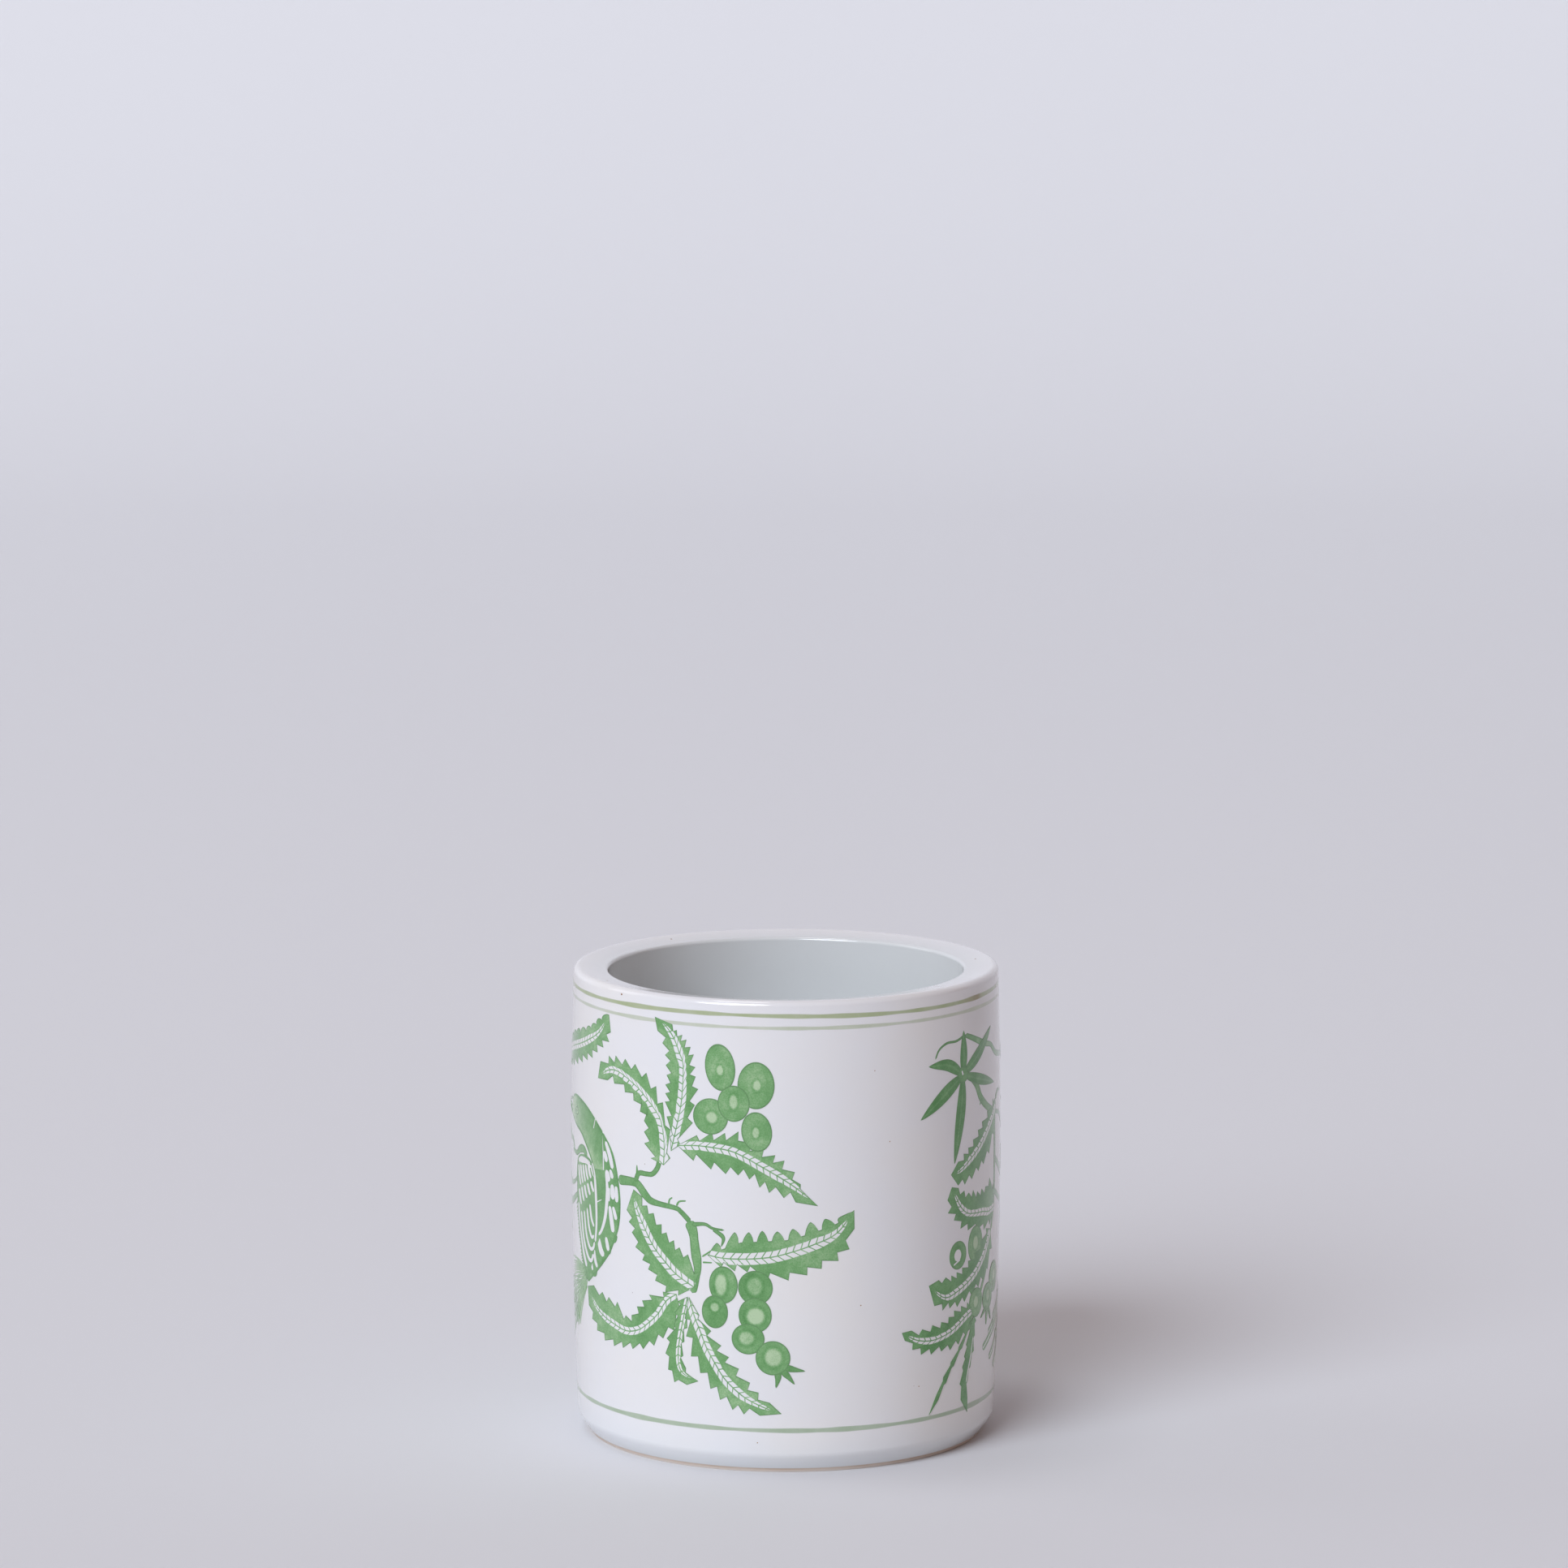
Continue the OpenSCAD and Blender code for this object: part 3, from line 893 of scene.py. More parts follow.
@dataclass
class Motif:
    """A group of drawn shapes that lie over each other in order, and the CAD node that it stands for.

    shift moves the group round the wall, in millimetres on a wall of the drawn radius.
    """

    node: str
    shapes: list[Shape]
    shift: float = 0.0

    # Height of the lowest layer over the glaze, the greatest step from layer to layer, the greatest height of
    # the top layer over the lowest, and the depth of the back, in mm
    proud: float = 0.03
    layer: float = 0.006
    stack: float = 0.15
    depth: float = 0.05

    def build(self, form: PotForm, suffix: str, turn: float) -> bpy.types.Object:
        """Lays the motif on the wall as thin closed sheets.

        Args:
            form: The pot's form.
            suffix: Which of the two prints it belongs to.
            turn: Angle of that print, in radians.

        Returns:
            The object.
        """
        shell = Shell(f"{self.node}_print_{suffix}")
        layer = min(self.layer, self.stack / len(self.shapes))
        for number, shape in enumerate(self.shapes):
            patch = shape.patch()
            corner = patch.spots[:-1, :-1]
            cross = np.cross(patch.spots[1:, :-1] - corner, patch.spots[:-1, 1:] - corner)
            order = slice(None, None, -1) if cross.sum() > 0 else slice(None)
            s, z = np.moveaxis(patch.spots[:, order], -1, 0)
            around, wall = (s + self.shift) / DRAWN_R + turn, form.wall(z)
            lifts = (self.proud + layer * number, -self.depth)
            layers = [form.place(around, wall + lift, z) for lift in lifts]
            faces = (disc_faces if patch.ring else shell_faces)(*s.shape)
            bars = np.full(s.shape, patch.bars)
            rib = np.stack([patch.along, patch.off, patch.share], -1)[:, order]
            ink = np.stack([patch.edge, patch.tone, bars], -1)[:, order]
            shell.add(np.stack(layers), faces, np.stack([rib, rib]), np.stack([ink, ink]))
        return shell.mesh_object()


# ---------------------------------------------------------------- what the print shows

def bird() -> Motif:
    """The perched bird: shaded neck and head, folded wing with quills, scale feathers and a long tail."""
    nape = [(-84.5, 95.4), (-82, 96.9), (-79, 97.4), (-74, 96.8), (-70, 95.8), (-65, 93.5), (-60, 90.2)]
    back = [(-60, 90.2), (-56, 86.4), (-53.8, 82), (-52.2, 75), (-52, 70), (-52.8, 65), (-54.5, 61.3)]
    throat = [(-84.5, 91.2), (-79, 89.3), (-74, 87.9), (-70, 85.3), (-67, 82.5), (-65, 79.8), (-64.2, 78.9)]
    breast = [(-60, 90.2), (-59.4, 86.5), (-59.2, 83), (-59.6, 79.6)]
    shapes: list[Shape] = perch()
    shapes += tail()
    shapes += [Loft(nape, throat, (0.85, 0.6, 0.4, 0.3, 0.2, 0.22, 0.15),
                    (0.9, 0.8, 0.62, 0.6, 0.62, 0.75, 0.85))]
    shapes += [Loft([(-60.2, 90.2), (-60, 84), (-60, 79.8)], [(-62.2, 91.8), (-65.4, 82), (-64.4, 79.2)],
                    (0.3, 0.25, 0.7), (0.2, 0.4, 0.8))]
    shapes += [Stroke(nape, (0.5, 0.7, 0.8, 0.7), 0.12), Stroke(throat, (0.5, 0.7, 0.7, 0.6), 0.12)]
    shapes += [Stroke([(-84.3, 95.4), (-88, 95.1), (-93.5, 93.4)], (0.6, 0.8, 0.3), 0.2)]
    shapes += [Stroke([(-84.4, 91.2), (-88, 91.9), (-93.5, 93.2)], (0.6, 0.7, 0.3), 0.2)]
    shapes += [Stroke([(-84.6, 93.4), (-92.5, 93.3)], (0.4, 0.3), 0.3)]
    shapes += [Berry((-78.2, 93.2), (1.7, 1.3), (-78.2, 93.2), (1.1, 0.8), 15, 0.5, 1)]
    shapes += [Berry((-78.3, 93.2), (0.55, 0.55), (-60, 93), (0.3, 0.3), 0, 0)]
    shapes += [Stroke([(-65, 90.6), (-63.9, 93.6)], (0.35, 0.3), 0.95, blank=True)]
    shapes += scales(back, breast)
    shapes += [Loft([(-65.6, 79.3), (-64.3, 75), (-63.6, 69), (-63.9, 61), (-65.5, 56)],
                    [(-58.8, 79.9), (-58.5, 75), (-58.8, 68), (-60.6, 62.6), (-63.2, 58)],
                    (0.28, 0.2, 0.22, 0.3))]
    shapes += [Stroke([(-63.6, 70), (-60.8, 71.2), (-60.4, 71.3)], (0.35, 0.2), 0.9, blank=True)]
    shapes += wing()
    shapes += [Stroke([(-58.1, 79.4), (-57.5, 74), (-58.6, 67), (-60.6, 62.8), (-62.4, 61)],
                      (0.9, 1.5, 1.3, 0.8), 1, True)]
    return Motif("bird", shapes)


def perch() -> list[Shape]:
    """The branches from the trunk that the bird sits on."""
    return [
        Stroke([(-76.5, 70.4), (-80, 68.8), (-86, 66.2), (-93, 65.2), (-102, 66.6), (-110, 70.5)],
               (1.2, 2, 2, 1.6, 1.8), 0.4),
        Stroke([(-78.2, 75.5), (-79.6, 73.6), (-84, 71.8), (-90, 71.3), (-98, 73.2), (-105, 77), (-110, 80)],
               (0.9, 1.6, 2, 1.6), 0.4),
        Stroke([(-84, 81.5), (-79, 81.1), (-75.4, 82.9), (-72, 83.4), (-69.6, 81.6)], (0.8, 1.5, 2.4, 1.8),
               0.4),
        Stroke([(-82, 81.6), (-84.5, 84), (-89.5, 84.2), (-96, 86.5), (-103, 91), (-110, 93)],
               (0.9, 1.8, 1.4, 1.2), 0.4),
        Stroke([(-96, 73), (-97.5, 78), (-96.2, 81)], (1.2, 0.9, 0.3), 0.4),
        Stroke([(-93, 65.3), (-95, 60.5), (-93.4, 56.5)], (1.2, 0.9, 0.3), 0.4),
    ]


def tail() -> list[Shape]:
    """Down at the root of the tail, drawn in hairlines, and five long feathers with knobbed tips."""
    shapes: list[Shape] = []
    tips = [(-109, 34), (-113.5, 30.5), (-118, 27), (-112, 23), (-106.5, 19.5)]
    for number, tip in enumerate(tips):
        root = (-72.5 - 0.5 * number, 46.5 - 0.9 * number)
        third = (root[0] * 0.66 + tip[0] * 0.34, root[1] * 0.66 + tip[1] * 0.34 + 1.6 - 1.1 * number)
        late = (root[0] * 0.25 + tip[0] * 0.75, root[1] * 0.25 + tip[1] * 0.75 + 1.0 - 0.5 * number)
        shapes.append(Stroke([root, third, late, tip], (1, 2, 2.3, 2.2), 0.45, shaft=0.22))
        shapes += [Stroke([late, (late[0] - 2.2, late[1] + 1.9)], (1.4, 1.5), 0.45)]
        shapes += [Stroke([third, (third[0] - 1.6, third[1] - 2.2)], (1.1, 1), 0.45)]
    for hair in range(34):
        spread = hair / 33
        angle = math.radians(176 + 62 * spread)
        reach = 12 + 8 * math.sin(2.4 * spread + 0.4) + 1.5 * math.sin(hair * 2.1)
        start = (-70.5 - 1.3 * math.sin(hair * 1.7) ** 2, 49.5 - 4.5 * spread)
        end = (start[0] + reach * math.cos(angle), start[1] + reach * math.sin(angle))
        bend = ((start[0] + end[0]) / 2, (start[1] + end[1]) / 2 + 0.8)
        shapes.append(Stroke([start, bend, end], (0.28, 0.42, 0.16), 0.6))
    for hair in range(22):
        start = (-77.6 + 0.3 * hair, 68.0 - 0.92 * hair)
        shapes.append(Stroke([start, (start[0] - 2.3, start[1] - 1.6 - 0.3 * math.sin(hair))], (0.5, 0.2),
                             0.5))
    return shapes


def scales(back: Points, breast: Points) -> list[Shape]:
    """Scale feathers: green ground with rounded white cells and hooked tips along the lower edge."""
    under = [(-54.5, 61.3), (-56.8, 57.4), (-60, 54), (-64, 50.6), (-69.8, 46.4)]
    shapes: list[Shape] = [
        Loft(back, [breast[0], breast[2], (-59.2, 78), (-58.6, 72), (-58.9, 66), (-61.4, 61)],
             (0.3, 0.25, 0.3)),
        Loft(under, [(-61.4, 61.6), (-64, 59), (-67, 55), (-69, 50.5), (-70.4, 47)], (0.3, 0.28, 0.35)),
        Stroke(list(back) + list(under)[1:], (0.7, 0.6, 0.6, 0.7, 0.6, 0.5), 0.15),
    ]
    cells = [
        ([(-59, 85.4), (-57.7, 82.4)], 1.2), ([(-58.4, 88.2), (-56.4, 84.8), (-54.9, 80.9)], 1.2),
        ([(-58, 80.2), (-56.7, 77)], 1.5), ([(-56.2, 80.6), (-54.9, 78.2)], 1),
        ([(-55.2, 76.6), (-54.9, 72.3)], 1.4), ([(-53.4, 76.4), (-53.1, 71.8)], 1.1),
        ([(-56.6, 75.4), (-56.8, 71.5)], 0.7), ([(-56.5, 70.4), (-55.6, 66.2), (-54.9, 63)], 1.3),
        ([(-54.9, 70.4), (-53.4, 66.8)], 1), ([(-58.5, 61.2), (-57.3, 57.4)], 1.1),
        ([(-62.5, 60.2), (-61.3, 57), (-59.6, 55.6)], 1.5), ([(-65.2, 56.4), (-64.6, 53.4), (-63.4, 51.6)],
                                                             1),
        ([(-67.4, 53), (-66.4, 50.2)], 0.8), ([(-69.2, 50.4), (-69.8, 47.8)], 0.6),
    ]
    shapes += [Stroke(line, (0.95 * wide, 1.35 * wide, 1.45 * wide, 1.15 * wide), 1, True) for line,
               wide in cells]
    for s, z in ((-53.4, 62.4), (-56.2, 58.6), (-60.4, 54.7), (-64, 50.9)):
        shapes.append(Stroke([(s, z), (s - 0.7, z - 1.6), (s - 2.1, z - 1.9), (s - 2.9, z - 0.9)],
                             (0.7, 0.8, 0.5), 0.15))
    return shapes


def wing() -> list[Shape]:
    """The folded wing: green ground, two rows of short white quills, nested long ones, and its outline."""
    lead = [(-77.2, 79.2), (-78, 74), (-77.6, 66), (-76, 59), (-73.4, 52), (-70.4, 46.8)]
    trail = [(-66.2, 80.4), (-64.6, 76), (-64, 69), (-64.2, 61), (-66, 53.5), (-70, 46.6)]
    shapes: list[Shape] = [Loft(lead, trail, (0.55, 0.5, 0.42, 0.35), (0.3, 0.28, 0.25, 0.3))]
    shapes += [Stroke([(-76.9, 79.9), (-73.5, 80.3), (-69.5, 80.4), (-66.6, 79.2)], (1.6, 1.9, 1.5, 0.9), 1,
                      True)]
    for row, (count, left, high, drop, step) in enumerate(((6, -76.5, 78.4, 5.6, 2),
                                                           (5, -76, 71.6, 4.2, 2.3))):
        for quill in range(count):
            s, z = left + step * quill, high + (0.35 + 0.6 * row) * quill
            fall = drop * (1 - 0.09 * quill)
            shapes.append(Stroke([(s, z), (s + 0.9, z - 0.6 * fall), (s + 1.9, z - fall)], (1.2, 1.35, 1),
                                 1, True))
    nested = [
        ([(-76.9, 67.6), (-75.5, 60), (-72.8, 54), (-70.4, 50.4)], 1.6),
        ([(-74.2, 65.6), (-72.6, 58.5), (-69.6, 53.8), (-67.2, 52.8), (-65.6, 55)], 1.2),
        ([(-71.8, 66.2), (-70.4, 60), (-68, 56.4), (-65.8, 56.6), (-64.8, 58.6)], 1.1),
        ([(-69.6, 67.4), (-68.4, 62.4), (-66.6, 59.6), (-65, 60.4)], 1.1),
        ([(-67.6, 68.8), (-66.6, 65), (-65, 62.8)], 1.1),
    ]
    shapes += [Stroke(line, (0.8 * wide, wide, wide, 0.8 * wide), 1, True) for line, wide in nested]
    shapes += [Stroke([(-66, 80.8), (-64.4, 77.5), (-63.6, 71), (-63.5, 64), (-64.4, 58.6)],
                      (0.8, 1.3, 1.1, 0.9), 1, True)]
    shapes += [Stroke([(-78.2, 75), (-77, 79.6), (-74, 81.4), (-69.5, 81.6), (-66.2, 80.2), (-64.6, 77)],
                      (0.6, 0.6, 0.5), 0.2)]
    shapes += [Stroke(lead, (0.6, 0.6, 0.8, 1.2, 1.4), 0.4)]
    return shapes


def upper_spray() -> Motif:
    """Four toothed leaves and five berries over the branch."""
    branch = [(-52.5, 78.4), (-47, 78.7), (-44.5, 78.2), (-41.5, 75.4), (-39, 74.1), (-31.8, 73.3),
              (-29.9, 72.4), (-27, 69.8)]
    shoot = [(-45.5, 78.9), (-44.2, 81.4), (-41.5, 81.6), (-39.2, 81.9), (-37.4, 84), (-36.8, 86.5)]
    shapes: list[Shape] = [Stroke(branch, (3, 2.4, 2.6, 1.6, 1.4, 1.6), 0.35), Stroke(shoot,
                                                                                        (1.6, 1.4, 1.7),
                                                                                        0.35)]
    shapes += [Stroke([(-44.8, 81.2), (-44.9, 83.6)], (0.9, 0.3), 0.3)]
    shapes += [Stroke([(-33.8, 74.2), (-33.5, 75.4), (-32.6, 76.1)], (0.6, 0.35), 0.3)]
    shapes += [Stroke([(-31.3, 73.9), (-30.4, 75.2), (-28.3, 75.6)], (0.6, 0.35), 0.3)]
    shapes.append(ToothedLeaf(
        midrib=[(-97, 107), (-85, 110.3), (-76, 112.6), (-68.8, 115), (-62.3, 118.2), (-57.3, 123.8)],
        left=[(-92, 110.6), (-87.5, 113.6), (-82.5, 115.4), (-78, 116.6), (-73.5, 117.7), (-69.3, 118.8),
              (-66.2, 120), (-63.2, 121.8), (-60.2, 123.2)],
        right=[(-93, 104), (-88, 104.3), (-83, 105.2), (-78, 106.4), (-73.5, 107.7), (-69.5, 109),
               (-66.1, 110.2), (-63.1, 112.3), (-59.9, 114.2), (-57, 116.2), (-56.3, 119)],
        channel=1.2, left_margin=Margin.SCALLOPED, notch=1.9))
    shapes.append(ToothedLeaf(
        midrib=[(-35.4, 84.8), (-35.2, 91), (-36.3, 97), (-38.7, 100.3), (-42, 103.3), (-45.3, 105.7),
                (-52.3, 108.6), (-57.5, 108.2), (-62.6, 105.2)],
        left=[(-39.8, 86.2), (-42.1, 90.1), (-42.2, 93.3), (-42.2, 96.3), (-43.7, 98.7), (-46.2, 101.5),
              (-49.7, 103.3), (-54.3, 105), (-57.5, 105.4)],
        right=[(-33.2, 87), (-33.2, 95), (-35.7, 102.3), (-38, 106.5), (-41.5, 109.8), (-45.7, 111.7),
               (-49.7, 112.6), (-53.8, 112.9), (-57, 112.4), (-61.3, 110.2)],
        channel=1.55, notch=1.8))
    shapes.append(ToothedLeaf(
        midrib=[(-33, 89), (-30.8, 97.7), (-29.6, 104), (-29.2, 113), (-30.5, 116.7), (-32.3, 120.5),
                (-35, 123.6), (-38.7, 125.7)],
        left=[(-33.4, 93), (-34.4, 98.5), (-35, 102.6), (-34.9, 104.9), (-34.9, 107.3), (-34.5, 110),
              (-34.8, 112.7), (-35.1, 115.5), (-36, 118.7), (-37.7, 121.9)],
        right=[(-30, 91), (-26.2, 97.5), (-25.6, 102.5), (-24.6, 107), (-25.4, 110.4), (-25.5, 113),
               (-26, 116.5), (-27, 118.5), (-28.3, 120.4), (-29.6, 121.6), (-31.4, 122.8), (-32.8, 124.2)],
        channel=1.45, notch=1.6))
    shapes.append(ToothedLeaf(
        midrib=[(-31, 90.8), (-23.9, 91.3), (-16, 90.6), (-11.7, 89.1), (-7.4, 86.8), (-1, 83.1), (4, 79.6),
                (8.8, 75.4)],
        left=[(-25, 94.2), (-20.5, 95.3), (-16.8, 95.4), (-13, 96), (-9.5, 93), (-6, 91.3), (-2.9, 89.7),
              (-0.4, 88.2), (2.4, 85), (4, 81.6), (6.2, 78)],
        right=[(-26, 87), (-20.8, 85), (-16.6, 84), (-13.1, 83.8), (-10, 82.8), (-7.2, 80.6),
               (-4.6, 79.2), (-0.6, 77.8), (2.6, 76.6)],
        channel=1.25, notch=2))
    berries = [((-18.3, 113.4), (4.3, 6.5), (-18.3, 112.6), (0.9, 1.3), 8), ((-8.2, 108.8), (5.1, 6.5),
                                                                             (-7.9, 108.8), (1, 1.4), 0),
               ((-21, 99.7), (5.1, 5), (-20.6, 99.4), (1.5, 1.5), 0), ((-8, 96), (4.2, 5.5),
                                                                           (-8.2, 95.8), (0.9, 1.4), 8),
               ((-14.4, 103.6), (4.5, 5), (-14.4, 104.1), (1.1, 1.9), 0)]
    shapes += [Berry(centre, size, eye, spot, tilt) for centre, size, eye, spot, tilt in berries]
    return Motif("upper_spray", shapes)


def lower_spray() -> Motif:
    """Five toothed leaves and six berries under the branch, the last berry with its crown."""
    stem = [(-27.5, 70.2), (-26.2, 67), (-25.6, 62.5), (-24.9, 57), (-25.6, 53), (-26.6, 50)]
    shapes: list[Shape] = [Stroke(stem, (3.6, 2.6, 3, 1.8, 2.4), 0.38)]
    shapes += [Stroke([(-26.5, 69.2), (-22.7, 69.6), (-20.4, 68.6), (-17, 68.3)], (1.4, 1, 0.8, 0.5), 0.35)]
    shapes += [Stroke([(-20.4, 68.4), (-17.4, 66.3), (-17.9, 63.6)], (0.9, 1.3, 0.3), 0.35)]
    shapes += [Stroke([(-23.6, 60.4), (-20.2, 62.7), (-18, 63.9)], (0.5, 0.35), 0.3)]
    shapes += [Stroke([(-23.4, 58.9), (-20.6, 59)], (0.5, 0.35), 0.3)]
    shapes.append(ToothedLeaf(
        midrib=[(-25.9, 51.6), (-31.6, 54.8), (-35.2, 57.9), (-38.8, 61.4), (-42, 66.1), (-45.2, 71.9),
                (-46.2, 76.6)],
        left=[(-31, 48.8), (-35.2, 49.2), (-38.6, 52.1), (-41, 54.9), (-43.1, 57.2), (-45.7, 60.5),
              (-47, 64.4), (-48.2, 67.2), (-49, 70.4)],
        right=[(-24.5, 56), (-27.8, 60.7), (-30.4, 62.4), (-32.2, 64.2), (-34.6, 66.1), (-36.2, 68.2),
               (-38.9, 71), (-41.2, 72.8), (-42.9, 75)],
        channel=1.4, notch=1.5))
    shapes.append(ToothedLeaf(
        midrib=[(-22, 61.1), (-17.7, 60.5), (-12.4, 60.5), (-7, 60.9), (-1.6, 61.8), (7.3, 64.6),
                (14, 67.7), (18.9, 73.8)],
        left=[(-19.3, 64.6), (-14.2, 67.9), (-10.2, 68.1), (-6.5, 68.6), (-2.4, 68.5), (1.8, 69.2), (6.6, 71),
              (10.7, 71.8), (14.6, 72)],
        right=[(-18, 57.8), (-14.1, 57), (-10.6, 56.9), (-5, 54.8), (0.7, 54.8), (5.8, 56.2), (9.8, 57.9),
               (14.5, 59.9), (17.6, 63), (19, 68.6)],
        channel=1.6, left_margin=Margin.FINGERED, notch=1.9, bars=2.2))
    shapes.append(ToothedLeaf(
        midrib=[(-31.5, 49.2), (-34.9, 46.8), (-37.7, 42.9), (-40.9, 40), (-44.9, 37.3), (-50, 36.2),
                (-55.9, 37.3), (-60.2, 38.4), (-64.9, 40.5), (-70.2, 45)],
        left=[(-30, 43.5), (-32.4, 38.8), (-36.1, 36.1), (-39.3, 33.6), (-43.3, 32), (-47.4, 31.4),
              (-51.5, 31), (-55.6, 30.8), (-60.2, 31.5), (-64.6, 33.5), (-67.6, 36.2), (-69.8, 39.6)],
        right=[(-36, 49.3), (-40.8, 47.8), (-43.4, 45.8), (-45.4, 43.8), (-47.6, 41), (-50, 40.5),
               (-53.6, 43.7), (-57.7, 44.3), (-61, 45.1), (-66.1, 46)],
        channel=1.1, notch=1.6))
    shapes.append(ToothedLeaf(
        midrib=[(-28, 48.8), (-29.3, 43), (-30.5, 37.5), (-31.2, 32), (-30.2, 27.5), (-25, 25.3)],
        left=[(-31.2, 47.2), (-32.2, 43.9), (-32.6, 40.5), (-34.9, 36.3), (-35.4, 32), (-34.6, 27.5),
              (-32.6, 24.2), (-28.6, 23.9)],
        right=[(-27.2, 44.5), (-28.2, 40), (-29.2, 36), (-29.6, 32), (-28.8, 28.6), (-27.2, 26.4)],
        channel=0.75, notch=1, bars=2.4))
    shapes.append(ToothedLeaf(
        midrib=[(-27.6, 48.8), (-26.1, 43.9), (-24.3, 39.6), (-22.4, 35), (-19.9, 30.7), (-17, 26.4),
                (-12, 22), (-6.5, 19.2), (-1.2, 17.3)],
        left=[(-29, 42.5), (-28.6, 37.6), (-27.2, 32.1), (-24.4, 27.7), (-21.4, 23.5), (-18.6, 20.6),
              (-15, 18), (-11.8, 16.9), (-7.3, 16.7)],
        right=[(-24.5, 44), (-21, 39.8), (-18.1, 35.9), (-15.9, 32.8), (-13.1, 29.7), (-10, 25.9),
               (-7.6, 23.2), (-4.5, 20.4)],
        channel=1.3, notch=1.8))
    berries = [((-17.4, 53), (4.1, 5.2), (-18.1, 53), (1.6, 2.9), 0.42, 0.9), ((-8.4, 52.6), (4.8, 4.8),
                                                                                   (-8.6, 53), (2, 2.4),
                                                                                   0.3, 0.6), ((-19.9, 45.3),
                                                                                               (3.8, 4.6),
                                                                                               (-19.9, 46.6),
                                                                                               (1.2, 1.2),
                                                                                               0.25, 0.75),
               ((-8.5, 44.9), (4.6, 4.9), (-8.4, 44.6), (2.4, 2.2), 0.35, 0.9), ((-10.5, 38.2), (4.6, 4.3),
                                                                                 (-10.9, 38.4), (2, 1.8),
                                                                                 0.35, 0.75)]
    shapes += [Berry(c, size, eye, spot, 0, body, pale) for c, size, eye, spot, body, pale in berries]
    for tip in ((5.3, 29.3), (2.4, 25.6), (-2.8, 24.6)):
        shapes.append(Stroke([(-2.6, 31), ((tip[0] - 1.6) / 2, (tip[1] + 30.5) / 2), tip], (1.8, 1.9, 0.3),
                             0.3))
    shapes.append(Berry((-3.6, 33), (4.8, 4.8), (-3.5, 33.2), (2.2, 2.4)))
    return Motif("lower_spray", shapes)


def bamboo() -> Motif:
    """A star of bamboo leaves under an arching twig."""
    heart = (57, 107)
    shapes: list[Shape] = [
        Stroke([(45.2, 112.9), (46.8, 115.4), (50, 116.8), (54, 116.8), (58, 117.6), (62.1, 116.6)],
               (0.5, 0.7, 0.7, 1.2), 0.3),
        Stroke([(58.5, 117.8), (62.1, 116.5), (67.4, 114.5), (71, 113.4), (75, 112.4), (80.6, 109.1),
                (90, 107.4)], (1.4, 1.9, 1.5, 1.8, 1.4), 0.38),
        Stroke([(60, 106), (64.2, 102.8), (66.8, 99), (70.8, 96), (75.5, 94), (80, 92.8)],
               (1, 2.2, 2.3, 2, 1.6), 0.38),
        Stroke([(67.6, 98.8), (66.2, 96.9)], (1, 0.3), 0.3),
        Blade([heart, (57.5, 112.5), (57.6, 119.2)], 3.4), Blade([heart, (50.3, 110.6), (42.7, 111.2)], 3.4),
        Blade([heart, (50, 103.3), (39.7, 96.7)], 4), Blade([heart, (56, 97.5), (52.9, 82.6)], 4.2),
        Blade([heart, (65, 104.6), (77.6, 101.4)], 3.2), Blade([heart, (65.4, 111.4), (75, 117.7)], 3.6),
        Berry(heart, (2.4, 2.3), (40, 90), (1, 1), 0, 0.22),
        Stroke([(56.4, 108.2), (56.9, 106.9)], (0.5, 0.7), 1, True),
    ]
    return Motif("bamboo", shapes, -HALF_TURN)


